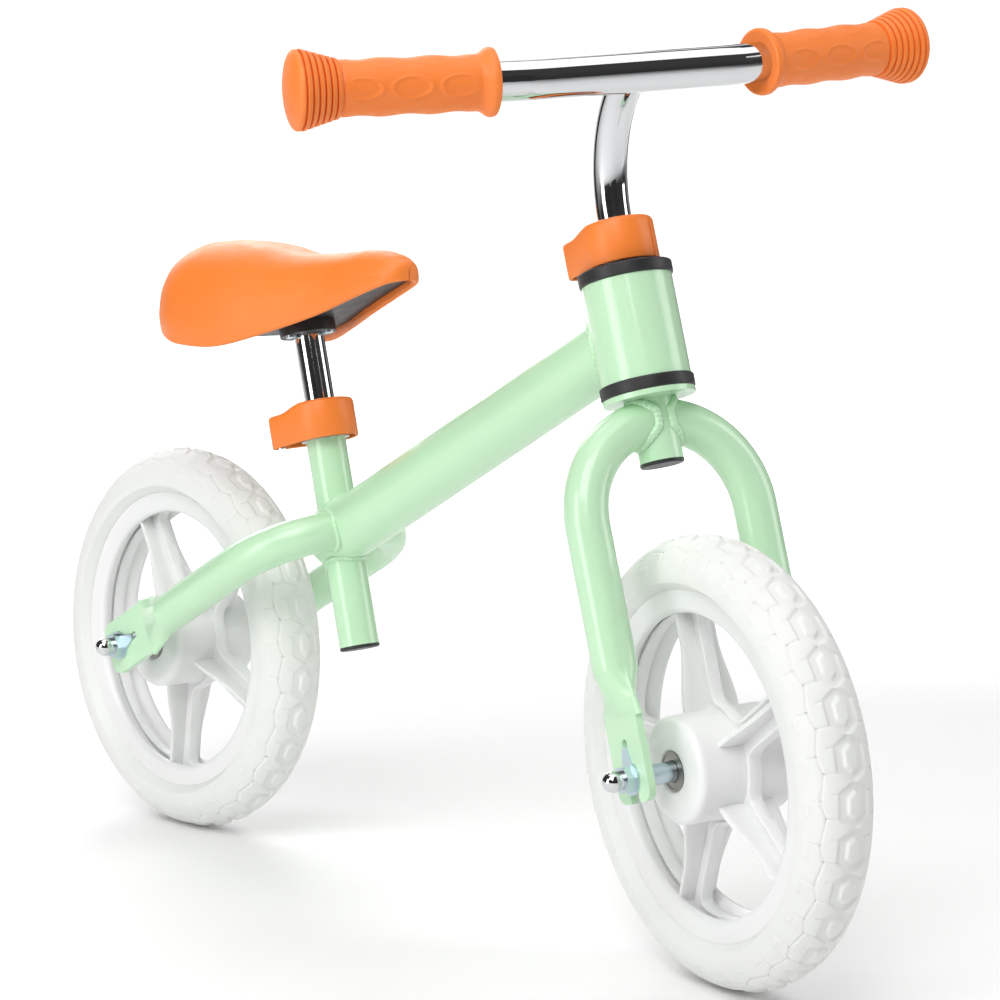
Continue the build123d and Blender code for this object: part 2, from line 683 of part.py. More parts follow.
def acorn_nuts(plane):
    """Domed nuts over the rod's ends."""
    side = upright(plane)
    with BuildPart() as nuts:
        for sign in (-1, 1):
            with BuildSketch(side):
                with BuildLine():
                    start = sign * ACORN_START
                    neck = sign * sqrt(ACORN_RADIUS ** 2 - ACORN_NECK ** 2)
                    centre = sign * ACORN_CENTRE
                    outer = Polyline((0, centre), (AXLE_RADIUS, centre), (AXLE_RADIUS, start),
                                     (ACORN_NECK, start), (ACORN_NECK, centre - neck))
                    low = degrees(asin(-neck / ACORN_RADIUS))
                    dome = CenterArc((0, centre), ACORN_RADIUS, low, sign * 90 - low)
                    Line(dome @ 1, outer @ 0)
                make_face()
            revolve(axis=axis_of(plane))
    return nuts.part


def wheel(name, plane, towards, first_spoke):
    """Every piece of one wheel and its axle, written under the wheel's name."""
    write(tyre(plane), f"{name}_tyre")
    write(rim(plane), f"{name}_rim")
    write(spoked_hub(plane, first_spoke), f"{name}_spoked_hub")
    write(bearing_outer(plane), f"{name}_bearing_outer_rings")
    write(bearing_shields(plane), f"{name}_bearing_shields")
    write(bearing_balls(plane), f"{name}_bearing_balls")
    write(bearing_inner(plane), f"{name}_bearing_inner_rings")
    inside = HUB_WIDTH / 2 - BEARING_WIDTH
    write(pipe(plane, -inside, inside, SPACER_RADIUS, AXLE_RADIUS), f"{name}_hub_spacer")
    write(pipes(plane, HUB_WIDTH / 2, PLATE_INSIDE, SLEEVE_RADIUS, AXLE_RADIUS),
          f"{name}_axle_sleeves")
    write(axle_rod(plane), f"{name}_axle_rod")
    write(safety_washers(plane, towards), f"{name}_safety_washers")
    write(hex_nuts(plane), f"{name}_hex_nuts")
    write(acorn_nuts(plane), f"{name}_acorn_nuts")


# ---------------------------------------------------------------- handlebar
def bar_line():
    """The drawing plane of the bar's bend: x to the left, y back and up."""
    centre = at(BAR, BAR_FORWARD, 0, BAR_UP)
    sweep_back = (BAR.x_dir * -BAR_BACK + BAR.z_dir * BAR_RISE).normalized()
    return Plane(origin=centre, x_dir=BAR.y_dir, z_dir=BAR.y_dir.cross(sweep_back))


def bar_path_points(half):
    slope = sqrt(BAR_BACK ** 2 + BAR_RISE ** 2)
    lift = slope * (half - BAR_STRAIGHT)
    return [(-half, lift), (-BAR_STRAIGHT, 0), (BAR_STRAIGHT, 0), (half, lift)]


def swept_bar(radius):
    with BuildPart() as rod:
        with BuildLine(bar_line()) as path:
            FilletPolyline(*bar_path_points(BAR_HALF), radius=BAR_BEND)
        with BuildSketch(Plane(origin=path.line @ 0, z_dir=path.line % 0)):
            Circle(radius)
        sweep()
    return rod.part


def crossbar():
    with BuildPart() as bar:
        add(swept_bar(BAR_RADIUS))
        add(swept_bar(BAR_RADIUS - BAR_WALL), mode=Mode.SUBTRACT)
    return bar.part


def stem_path():
    """Straight up the steerer, then one arc forward to the bar's axis."""
    with BuildLine(upright(BAR)) as path:
        straight = Line((0, STEM_FOOT), (0, STEM_BEND_START))
        TangentArc(straight @ 1, (BAR_FORWARD, BAR_UP), tangent=straight % 1)
    return path.line


def stem():
    with BuildPart() as tube:
        for radius, how in ((POST_RADIUS, Mode.ADD), (POST_RADIUS - POST_WALL, Mode.SUBTRACT)):
            path = stem_path()
            with BuildSketch(Plane(origin=path @ 0, z_dir=path % 0)):
                Circle(radius)
            sweep(path=path, mode=how)
        add(swept_bar(BAR_RADIUS), mode=Mode.SUBTRACT)
        far = Plane(origin=at(BAR, BAR_FORWARD, 0, BAR_UP), x_dir=BAR.y_dir, z_dir=BAR.x_dir)
        with BuildSketch(far):
            Rectangle(4 * BAR_RADIUS, 4 * BAR_RADIUS)
        extrude(amount=2 * BAR_RADIUS, mode=Mode.SUBTRACT)
    return tube.part


def grip_plane(side):
    """A grip's own plane: z outwards along the swept bar, from the inner flange."""
    slope = sqrt(BAR_BACK ** 2 + BAR_RISE ** 2)
    bend = bar_line()
    outward = (bend.x_dir * side + bend.y_dir * slope).normalized()
    start = at(bend, side * GRIP_START, slope * (GRIP_START - BAR_STRAIGHT), 0)
    return Plane(origin=start, x_dir=BAR.z_dir, z_dir=outward)


def grip_length_on_bar():
    slope = sqrt(BAR_BACK ** 2 + BAR_RISE ** 2)
    return (BAR_HALF - GRIP_START) * sqrt(1 + slope ** 2)


def grip(side):
    """A rubber grip: inner flange, body, ribbed safety cone and domed end."""
    plane = grip_plane(side)
    side_view = upright(plane)
    cone_start = GRIP_LENGTH - GRIP_CONE
    rib = GRIP_CONE / GRIP_GROOVES
    flare = (GRIP_CAP_RADIUS - GRIP_RADIUS) / GRIP_CONE
    outline = [(BAR_RADIUS, 0), (GRIP_FLANGE_RADIUS, 0), (GRIP_FLANGE_RADIUS, GRIP_FLANGE),
               (GRIP_RADIUS, GRIP_FLANGE + 3.0), (GRIP_RADIUS, cone_start)]
    for k in range(GRIP_GROOVES):
        low = cone_start + k * rib
        radius = GRIP_RADIUS + flare * (k + 0.5) * rib
        outline += [(radius, low), (radius, low + 0.7 * rib), (radius - 1.2, low + 0.7 * rib),
                    (radius - 1.2, low + rib)]
    outline += [(GRIP_CAP_RADIUS, GRIP_LENGTH), (GRIP_CAP_RADIUS, GRIP_LENGTH + GRIP_RIM)]
    inside = grip_length_on_bar()
    rise = GRIP_DOME - GRIP_RIM
    sphere = (GRIP_CAP_RADIUS ** 2 + rise ** 2) / (2 * rise)
    half_angle = degrees(asin(GRIP_CAP_RADIUS / sphere))
    with BuildPart() as piece:
        with BuildSketch(side_view):
            with BuildLine():
                wall = Polyline(*outline)
                dome = CenterArc((0, GRIP_LENGTH + GRIP_DOME - sphere), sphere, 90 - half_angle,
                                 half_angle)
                Polyline(dome @ 1, (0, inside), (BAR_RADIUS, inside), (BAR_RADIUS, 0))
            make_face()
        revolve(axis=axis_of(plane))
    return piece.part


# ---------------------------------------------------------------- saddle
# station: forward of the seat post's head, half width, top, lower edge
SADDLE_STATIONS = [
    (-132, 24, 26, -4), (-123, 43, 37, -12), (-105, 56, 47, -18), (-80, 62, 53, -22),
    (-38, 58, 52, -21), (5, 44, 47, -9), (45, 31, 49, 5), (80, 25, 53, 19),
    (102, 20, 51, 27), (113, 12, 43, 31),
]


def saddle_plane(forward):
    """A drawing plane across the saddle, its x to the left and y up."""
    head = at(SEAT, 0, 0, POST_HEAD)
    return Plane(origin=(head.X + forward, 0, head.Z), x_dir=(0, -1, 0), z_dir=(-1, 0, 0))


def saddle_section(plane, half, top, low):
    """A crowned section: full at the sides, round on top, flat below."""
    height = top - low
    right = [(0.93 * half, low), (half, low + 0.36 * height), (0.74 * half, low + 0.84 * height)]
    left = [(-x, y) for x, y in reversed(right)]
    with BuildSketch(plane) as section:
        with BuildLine():
            crown = Spline(*right, (0, top), *left)
            Line(crown @ 1, crown @ 0)
        make_face()
    return section.sketch


def saddle_body(skin, padding, drop, stations):
    """The saddle's shape, drawn in by a skin at the sides and a padding on top."""
    sections = [saddle_section(saddle_plane(forward), half - skin, top - padding, low - drop)
                for forward, half, top, low in stations]
    with BuildPart() as body:
        loft(sections)
    return body.part


def pan_space():
    return saddle_body(SADDLE_SKIN, SADDLE_PADDING, 2.0, SADDLE_STATIONS[1:-1])


def saddle_cover():
    with BuildPart() as cover:
        add(saddle_body(0, 0, 0, SADDLE_STATIONS))
        add(pan_space(), mode=Mode.SUBTRACT)
    return cover.part


def saddle_base():
    """The stiff pan under the padding, with the round boss that holds the post."""
    head = at(SEAT, 0, 0, POST_HEAD)
    side_view = Plane(origin=(head.X, 0, head.Z), x_dir=(1, 0, 0), z_dir=(0, -1, 0))
    edge = [(forward, low + SADDLE_RECESS) for forward, _, _, low in SADDLE_STATIONS[1:-1]]
    lowest = min(height for _, height in edge) - 40
    beyond = 30
    ends = [(edge[-1][0] + beyond, edge[-1][1]), (edge[-1][0] + beyond, lowest),
            (edge[0][0] - beyond, lowest), (edge[0][0] - beyond, edge[0][1])]
    with BuildPart() as base:
        add(pan_space())
        with BuildSketch(side_view):
            with BuildLine():
                Polyline(*edge, *ends, close=True)
            make_face()
        extrude(amount=200, both=True, mode=Mode.SUBTRACT)
        add(pipe(SEAT, BOSS_UNDERSIDE, POST_HEAD, BOSS_RADIUS))
        add(pipe(SEAT, BOSS_UNDERSIDE - 1, POST_HEAD, POST_RADIUS), mode=Mode.SUBTRACT)
        add(screw_set(), mode=Mode.SUBTRACT)
    return base.part


def screw_set():
    """Three pan-head screws up through the boss."""
    circle = (POST_RADIUS + BOSS_RADIUS) / 2
    with BuildPart() as screws:
        for radius, low, high in ((2.0, 0, 12.0), (3.6, -1.8, 0.0)):
            with BuildSketch(SEAT.offset(BOSS_UNDERSIDE + low)):
                with PolarLocations(circle, 3, start_angle=30):
                    Circle(radius)
            extrude(amount=high - low)
    return screws.part


# ---------------------------------------------------------------- build
os.makedirs("parts", exist_ok=True)

write(main_tube(), "main_tube")
write(pipe(HEAD, HEAD_LOW, HEAD_HIGH, HEAD_TUBE_RADIUS, HEAD_TUBE_RADIUS - HEAD_TUBE_WALL),
      "head_tube")
write(pipe(SEAT, -SEAT_TUBE_BELOW, SEAT_TUBE_ABOVE, SMALL_TUBE_RADIUS, TUBE_BORE), "seat_tube")
write(stay(1), "left_stay")
write(stay(-1), "right_stay")
write(end_cap(SEAT, -SEAT_TUBE_BELOW, SMALL_TUBE_RADIUS), "seat_tube_cap")
write(bush(HEAD_HIGH + BUSH_FLANGE, -1), "upper_headset_bush")
write(bush(HEAD_LOW - BUSH_FLANGE, 1), "lower_headset_bush")
write(pipe(FORK, STEERER_FOOT, STEERER_TOP, SMALL_TUBE_RADIUS, TUBE_BORE), "steerer_tube")
write(fork_leg(1), "left_fork_leg")
write(fork_leg(-1), "right_fork_leg")
write(crown_disc(), "crown_disc")
write(end_cap(FORK, STEERER_FOOT, SMALL_TUBE_RADIUS), "steerer_cap")

for name, plane in (("seat", clamp_plane(SEAT, SEAT_CLAMP_LOW, SEAT_CLAMP_TURN)),
                    ("head", clamp_plane(HEAD, HEAD_CLAMP_LOW, HEAD_CLAMP_TURN))):
    write(clamp_band(plane), f"{name}_clamp_band")
    write(clamp_bolt(plane), f"{name}_clamp_bolt")
    write(clamp_cover(plane), f"{name}_clamp_cover")
    write(clamp_lever(plane), f"{name}_clamp_lever")
    write(clamp_pin(plane), f"{name}_clamp_pin")

write(shim(SEAT, SEAT_TUBE_ABOVE), "seat_post_shim")
write(shim(BAR, STEERER_TOP), "stem_shim")

wheel("rear", REAR_WHEEL, MAIN.x_dir, REAR_SPOKE)
wheel("front", FRONT_WHEEL, FORK.z_dir, FRONT_SPOKE)

write(stem(), "stem")
write(crossbar(), "crossbar")
write(grip(1), "left_grip")
write(grip(-1), "right_grip")

write(pipe(SEAT, POST_FOOT, POST_HEAD, POST_RADIUS, POST_RADIUS - POST_WALL), "seat_post")
write(saddle_cover(), "saddle_cover")
write(saddle_base(), "saddle_base")
write(screw_set(), "saddle_screws")
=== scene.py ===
"""The looks of a child's balance bike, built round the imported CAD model.

Everything is in metres in the model's frame: +X forward, +Y to the rider's left, +Z up.
Shapes are grids of points worked out as whole arrays, from the joints' own axes.
"""
import json
from math import cos, pi, radians, sin, sqrt

import bmesh
import bpy
import numpy as np
from mathutils import Matrix


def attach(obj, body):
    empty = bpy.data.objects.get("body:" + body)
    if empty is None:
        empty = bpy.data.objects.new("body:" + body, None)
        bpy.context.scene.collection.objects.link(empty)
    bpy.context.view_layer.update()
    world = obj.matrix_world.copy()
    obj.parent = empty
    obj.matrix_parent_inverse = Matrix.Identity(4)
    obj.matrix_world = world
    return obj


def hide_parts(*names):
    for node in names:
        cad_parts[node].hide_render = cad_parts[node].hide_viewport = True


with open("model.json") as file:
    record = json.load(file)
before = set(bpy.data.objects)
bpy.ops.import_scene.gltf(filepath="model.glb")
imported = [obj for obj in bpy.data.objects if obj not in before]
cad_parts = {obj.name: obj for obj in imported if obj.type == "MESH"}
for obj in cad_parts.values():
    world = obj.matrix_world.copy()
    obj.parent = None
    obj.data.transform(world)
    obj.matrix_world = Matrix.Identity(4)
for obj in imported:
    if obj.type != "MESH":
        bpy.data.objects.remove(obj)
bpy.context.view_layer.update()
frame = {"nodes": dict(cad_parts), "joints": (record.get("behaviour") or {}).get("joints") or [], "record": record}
MM = 0.001
JOINTS = {joint["name"]: joint for joint in frame["joints"]}
NODES = frame["nodes"]

# ---------------------------------------------------------------- sizes, millimetres and degrees
STEER_TURN = -12.1          # stored turn of the fork about the steering axis
BAR_TURN = -15.9            # stored turn of the handlebar about the same axis
MAIN_TUBE_SLOPE = 28.6
SEAT_TUBE_AT = 209.3        # rear axle to seat tube, along the main tube
STAY_WELD_AT = 221.0        # rear axle to the stays' root, along the main tube
STAY_BEND = 58.0
LEG_OFFSET = 62.5
ARCH_CENTRE = 158.0         # front axle to the centre of the fork's arch
MAIN_TUBE_RADIUS = 22.25
SMALL_TUBE_RADIUS = 14.3
HEAD_TUBE_RADIUS = 29.25
HEAD_TUBE_AT = 279.1        # front axle to the middle of the head tube

WHEEL_RADIUS = 145.0
TYRE_CROWN = 25.0
RIM_RADIUS = 112.0
RIM_HALF = 17.5
RIM_LIP_RADIUS = 97.0
HUB_RADIUS = 34.5
HUB_HALF = 36.5
BEARING_RADIUS = 13.0
SPOKES = 5
SPOKE_HALF = 11.0
WEB_HALF = 2.6
WINDOW_EDGE = 4.6           # half the depth of the rolled edge round each window
TREAD_PITCHES = 32
STEPS_PER_PITCH = 26        # mesh rows in each pitch of the tread
FIRST_SPOKE = {"rear": 95.3, "front": 127.3}


# ---------------------------------------------------------------- places
def unit(vector):
    vector = np.asarray(vector, float)
    return vector / np.linalg.norm(vector)


class Place:
    """A point and three directions at right angles, to set a shape out from."""

    def __init__(self, origin, z, x):
        self.origin = np.asarray(origin, float)
        self.z = unit(z)
        self.x = unit(np.asarray(x, float) - np.dot(x, self.z) * self.z)
        self.y = np.cross(self.z, self.x)

    def at(self, x, y, z):
        """Points in metres from millimetres along the three directions."""
        x, y, z = np.broadcast_arrays(x, y, z)
        steps = x[..., None] * self.x + y[..., None] * self.y + z[..., None] * self.z
        return self.origin + steps * MM

    def turned(self, degrees):
        """The same place turned about its z."""
        x = self.x * cos(radians(degrees)) + self.y * sin(radians(degrees))
        return Place(self.origin, self.z, x)

    def moved(self, x=0.0, y=0.0, z=0.0):
        return Place(self.at(x, y, z), self.z, self.x)


def joint_place(name, x=(1, 0, 0)):
    joint = JOINTS[name]
    return Place(joint["pos_m"], joint["axis"], x)


FRONT_AXLE = np.array(JOINTS["front_wheel_spin"]["pos_m"])
REAR_AXLE = np.array(JOINTS["rear_wheel_spin"]["pos_m"])
STEERING = JOINTS["steering"]["axis"]
HEAD = Place(FRONT_AXLE, STEERING, (1, 0, 0))
FORK = HEAD.turned(STEER_TURN)
BAR = HEAD.turned(BAR_TURN)
SLOPE = radians(MAIN_TUBE_SLOPE)
MAIN = Place(REAR_AXLE, (cos(SLOPE), 0, sin(SLOPE)), (-sin(SLOPE), 0, cos(SLOPE)))
SEAT = Place(MAIN.at(0, 0, SEAT_TUBE_AT), JOINTS["saddle_swivel"]["axis"], (1, 0, 0))
WHEELS = {"rear": joint_place("rear_wheel_spin"), "front": Place(FRONT_AXLE, FORK.y, FORK.x)}


# ---------------------------------------------------------------- meshes
def grid_faces(rows, columns, around, along, start=0):
    """Corner numbers of a grid's four-sided faces; around joins the last column to the first."""
    i = np.arange(rows if along else rows - 1)[:, None]
    j = np.arange(columns if around else columns - 1)[None, :]
    down, right = (i + 1) % rows, (j + 1) % columns
    faces = np.stack([i * columns + j, i * columns + right,
                      down * columns + right, down * columns + j], -1)
    return faces.reshape(-1, 4) + start


class Shell:
    """A list of grids that together make one piece."""

    def __init__(self):
        self.points, self.faces, self.ends, self.count = [], [], [], 0

    def grid(self, points, around=True, along=False, capped=False):
        """Adds a grid: rows along the shape, columns round it; capped closes both ends."""
        rows, columns = points.shape[:2]
        if capped:
            rim = np.arange(columns) + self.count
            self.ends += [rim.tolist(), (rim + (rows - 1) * columns)[::-1].tolist()]
        self.points.append(points.reshape(-1, 3))
        self.faces.append(grid_faces(rows, columns, around, along, self.count))
        self.count += rows * columns
        return self

    def make(self, name, smooth_below=35.0, merge=0.00002):
        """The mesh object, with doubled points merged and every face outwards."""
        mesh = bpy.data.meshes.new(name)
        faces = np.concatenate(self.faces).tolist() + self.ends
        mesh.from_pydata(np.concatenate(self.points), [], faces)
        work = bmesh.new()
        work.from_mesh(mesh)
        bmesh.ops.remove_doubles(work, verts=work.verts, dist=merge)
        bmesh.ops.dissolve_degenerate(work, edges=work.edges, dist=merge / 2)
        bmesh.ops.recalc_face_normals(work, faces=work.faces)
        work.to_mesh(mesh)
        work.free()
        mesh.shade_smooth()
        mesh.set_sharp_from_angle(angle=radians(smooth_below))
        piece = bpy.data.objects.new(name, mesh)
        bpy.context.scene.collection.objects.link(piece)
        return piece


def turn_profile(place, profile, steps=96):
    """A profile of (radius, height) points carried round a place's z."""
    radius, height = np.asarray(profile, float).T
    angle = np.linspace(0, 2 * pi, steps, endpoint=False)[None, :]
    return place.at(radius[:, None] * np.cos(angle), radius[:, None] * np.sin(angle),
                    height[:, None])


def rounded(points, radius, steps=4):
    """An outline's corners rounded: each becomes a quadratic arc inside its two sides."""
    points = np.asarray(points, float)
    before, after = np.roll(points, 1, 0) - points, np.roll(points, -1, 0) - points
    reach = [np.minimum(radius, 0.45 * np.linalg.norm(v, axis=1)) / np.linalg.norm(v, axis=1)
             for v in (before, after)]
    start, end = points + before * reach[0][:, None], points + after * reach[1][:, None]
    t = np.linspace(0, 1, steps)[None, :, None]
    arc = (1 - t) ** 2 * start[:, None] + 2 * t * (1 - t) * points[:, None] + t ** 2 * end[:, None]
    return arc.reshape(-1, 2)


def tube_frames(path):
    """Two directions square to a path at each point, turning as little as possible."""
    along = np.gradient(path, axis=0)
    along /= np.linalg.norm(along, axis=1)[:, None]
    reference = unit(np.cross(along[0], along[-1]) + np.array([1e-4, 2e-4, 3e-4]))
    first = np.cross(along, reference)
    first /= np.linalg.norm(first, axis=1)[:, None]
    return first, np.cross(along, first)


def smooth_step(x):
    x = np.clip(x, 0, 1)
    return x * x * (3 - 2 * x)


def segment_distance(u, v, start, end):
    """How far each point (u, v) is from one straight segment."""
    start, end = np.asarray(start, float), np.asarray(end, float)
    line = end - start
    t = np.clip(((u - start[0]) * line[0] + (v - start[1]) * line[1]) / (line @ line), 0, 1)
    return np.hypot(u - start[0] - t * line[0], v - start[1] - t * line[1])


# ---------------------------------------------------------------- materials
class Finish:
    """A Principled material under construction, with its texture helpers."""

    def __init__(self, name, colour, roughness, metallic=0.0, **sockets):
        self.material = bpy.data.materials.new(name)
        self.material.use_nodes = True
        self.tree = self.material.node_tree
        self.shader = self.tree.nodes["Principled BSDF"]
        self.place = self.tree.nodes.new("ShaderNodeTexCoord").outputs["Object"]
        self.colour = colour
        self.set("Base Color", (*colour, 1))
        self.set("Roughness", roughness)
        self.set("Metallic", metallic)
        for socket, value in sockets.items():
            self.set(socket.replace("_", " "), value)
        self.normal = None

    def set(self, socket, value):
        self.shader.inputs[socket].default_value = value

    def node(self, kind, **inputs):
        node = self.tree.nodes.new(kind)
        for name, value in inputs.items():
            socket = node.inputs[name.replace("_", " ")]
            if isinstance(value, bpy.types.NodeSocket):
                self.tree.links.new(value, socket)
            else:
                socket.default_value = value
        return node

    def noise(self, scale, detail=2.0, stretch=(1, 1, 1)):
        """Noise on the piece's own coordinates, scale in cycles per metre."""
        mapping = self.node("ShaderNodeMapping", Vector=self.place, Scale=stretch)
        return self.node("ShaderNodeTexNoise", Vector=mapping.outputs["Vector"], Scale=scale,
                         Detail=detail).outputs["Fac"]

    def cells(self, scale):
        return self.node("ShaderNodeTexVoronoi", Vector=self.place,
                         Scale=scale).outputs["Distance"]

    def spread(self, value, low, high, first=0.0, last=1.0):
        node = self.node("ShaderNodeMapRange", Value=value)
        for name, number in (("From Min", low), ("From Max", high), ("To Min", first),
                             ("To Max", last)):
            node.inputs[name].default_value = number
        return node.outputs["Result"]

    def tint(self, factor, other, base=None):
        """Mixes the colour so far with another, by a texture."""
        mix = self.tree.nodes.new("ShaderNodeMix")
        mix.data_type = "RGBA"
        self.tree.links.new(factor, mix.inputs["Factor"])
        linked = self.shader.inputs["Base Color"].links
        if linked:
            self.tree.links.new(linked[0].from_socket, mix.inputs["A"])
        else:
            mix.inputs["A"].default_value = (*self.colour, 1)
        mix.inputs["B"].default_value = (*other, 1)
        self.tree.links.new(mix.outputs["Result"], self.shader.inputs["Base Color"])
        return self

    def polish(self, value, low, high, first, last):
        """Roughness that follows a texture."""
        self.tree.links.new(self.spread(value, low, high, first, last),
                            self.shader.inputs["Roughness"])
        return self

    def bump(self, height, strength, distance):
        """Adds relief; distance is its depth in metres."""
        node = self.node("ShaderNodeBump", Height=height, Strength=strength, Distance=distance)
        if self.normal:
            self.tree.links.new(self.normal, node.inputs["Normal"])
        self.normal = node.outputs["Normal"]
        self.tree.links.new(self.normal, self.shader.inputs["Normal"])
        return self


def paint(name="mint_powder_coat"):
    """Gloss powder coat: faint orange peel, slow drift of tone, clear top."""
    finish = Finish(name, (0.53, 0.80, 0.53), 0.3, Coat_Weight=0.6, Coat_Roughness=0.07)
    finish.tint(finish.spread(finish.noise(9, 3), 0.35, 0.7, 0.0, 0.35), (0.55, 0.845, 0.55))
    finish.polish(finish.noise(12, 1), 0.3, 0.7, 0.29, 0.34)
    return finish.bump(finish.noise(420, 1), 0.04, 0.00006)


def moulded(name, colour, darker, roughness, grain=1400, depth=0.35):
    """Injection-moulded plastic: a fine spark-eroded grain and a slow drift of tone."""
    finish = Finish(name, colour, roughness)
    finish.tint(finish.spread(finish.noise(14, 3), 0.35, 0.75, 0.0, 0.45), darker)
    finish.polish(finish.noise(90, 3), 0.3, 0.7, roughness - 0.05, roughness + 0.07)
    return finish.bump(finish.cells(grain), depth, 0.00008).bump(finish.noise(300, 2), 0.08, 0.0002)


def foam(name="white_foam"):
    """Closed-cell foam: a matt skin of tiny pores, larger pores drawn as spots of painted shade, a warm cast."""
    finish = Finish(name, (0.82, 0.83, 0.81), 0.6)
    finish.tint(finish.spread(finish.noise(16, 4), 0.35, 0.75, 0.0, 0.5), (0.77, 0.785, 0.755))
    # painted shade: darker spots round the cell centres stand for the shadow inside larger pores
    finish.tint(finish.spread(finish.cells(700), 0.0, 0.25, 0.2, 0.0), (0.68, 0.69, 0.66))
    finish.bump(finish.cells(1500), 0.4, 0.0001)
    return finish.bump(finish.noise(240, 3), 0.25, 0.0003)


def plated(name, colour, low, high, scratches=0.06, clouds=0.0, other=(0.5, 0.5, 0.5)):
    """Plated metal: roughness drifts between low and high under hair scratches."""
    finish = Finish(name, colour, low, metallic=1.0)
    if clouds:
        finish.tint(finish.spread(finish.noise(120, 4), 0.4, 0.7, 0.0, clouds), other)
    finish.polish(finish.noise(75, 4), 0.3, 0.75, low, high)
    return finish.bump(finish.noise(1500, 2, (1, 1, 12)), scratches, 0.00004)


FINISHES = {
    "mint_paint": paint(),
    "black_plastic": moulded("black_nylon", (0.016, 0.016, 0.018), (0.03, 0.03, 0.032), 0.42),
    "orange_plastic": moulded("orange_nylon", (0.93, 0.235, 0.035), (0.86, 0.19, 0.025), 0.4),
    "orange_rubber": moulded("orange_grip_rubber", (0.93, 0.23, 0.035), (0.87, 0.19, 0.028), 0.5,
                             1900, 0.5),
    "orange_saddle_skin": moulded("orange_foam_skin", (0.93, 0.235, 0.035), (0.88, 0.2, 0.03),
                                  0.46, 900, 0.4),
    "band_alloy": plated("blasted_alloy", (0.62, 0.63, 0.64), 0.35, 0.5, 0.3),
    "chrome": plated("bright_chrome", (0.68, 0.69, 0.70), 0.03, 0.1, 0.03),
    "shim_plastic": moulded("natural_black_nylon", (0.03, 0.03, 0.03), (0.05, 0.05, 0.05), 0.5),
    "zinc_steel": plated("blue_white_zinc", (0.56, 0.67, 0.74), 0.28, 0.4, 0.15, 0.5,
                         (0.62, 0.66, 0.68)),
    "bearing_steel": plated("oiled_bearing_steel", (0.30, 0.29, 0.27), 0.28, 0.4, 0.2, 0.5,
                            (0.16, 0.15, 0.14)),
    "white_foam": foam(),
    "white_plastic": moulded("white_nylon", (0.84, 0.845, 0.84), (0.80, 0.81, 0.81), 0.34,
                             1100, 0.2),
}


def wear(piece, slot):
    """Gives a piece the finish of a material slot."""
    piece.data.materials.clear()
    piece.data.materials.append(FINISHES[slot].material)


def dress_cad_nodes():
    for part in frame["record"]["subparts"]:
        node = NODES[part["node"]]
        for index in range(max(1, len(node.material_slots))):
            if index < len(node.material_slots):
                node.material_slots[index].material = FINISHES[part["material_slot"]].material
            else:
                node.data.materials.append(FINISHES[part["material_slot"]].material)


def place_piece(piece, body, slot, *replaced):
    wear(piece, slot)
    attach(piece, body)
    if replaced:
        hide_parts(*replaced)
    return piece


# ---------------------------------------------------------------- tyres
def hexagon(u, side, length, width):
    """How far out a point is in a long hexagon: zero in the middle, one on its border."""
    across = side / width
    return np.maximum(across, np.abs(u) / length + 0.45 * across)


def tread_relief(around, across):
    """Height of the tread in millimetres: pads in recesses on the crown, fine grooves outside.

    around runs from -0.5 to 0.5 in each pitch and across is the distance from the
    crown.  A recess is a long hexagon that meets the next, with a smaller raised
    hexagon in it; a groove is a narrow dip round a straight segment; ribs fade in on
    the sidewall.
    """
    pitch = 2 * pi * WHEEL_RADIUS / TREAD_PITCHES
    u, side = around * pitch, np.abs(across)
    recess = smooth_step((1.0 - hexagon(u, side, pitch * 0.56, 11.5)) * 7.0)
    pad = smooth_step((1.0 - hexagon(u, side, 10.2, 5.4)) * 3.4)
    height = -1.5 * recess + 1.9 * pad
    lines = [((7.8, 11.3), (7.8, 18.5)), ((7.8, 18.5), (-3.0, 22.0)), ((-3.0, 22.0), (-3.0, 29.0)),
             ((7.8, 18.5), (pitch - 3.0, 22.0)), ((-7.8, 11.3), (-7.8, 15.0))]
    for start, end in lines:
        for shift in (-pitch, 0.0):
            near = segment_distance(u, side, (start[0] + shift, start[1]), (end[0] + shift, end[1]))
            height = height - 0.6 * smooth_step((1.0 - near) / 0.7) * (1 - recess)
    block = (smooth_step((5.2 - np.abs(u - 3.5)) / 0.8)
             * smooth_step((2.6 - np.abs(side - 31.0)) / 0.8))
    ribs = 0.22 * np.cos(u / pitch * 2 * pi * 8) * smooth_step((side - 34.0) / 3.0)
    return height + 0.5 * block + ribs * smooth_step((39.0 - side) / 3.0)


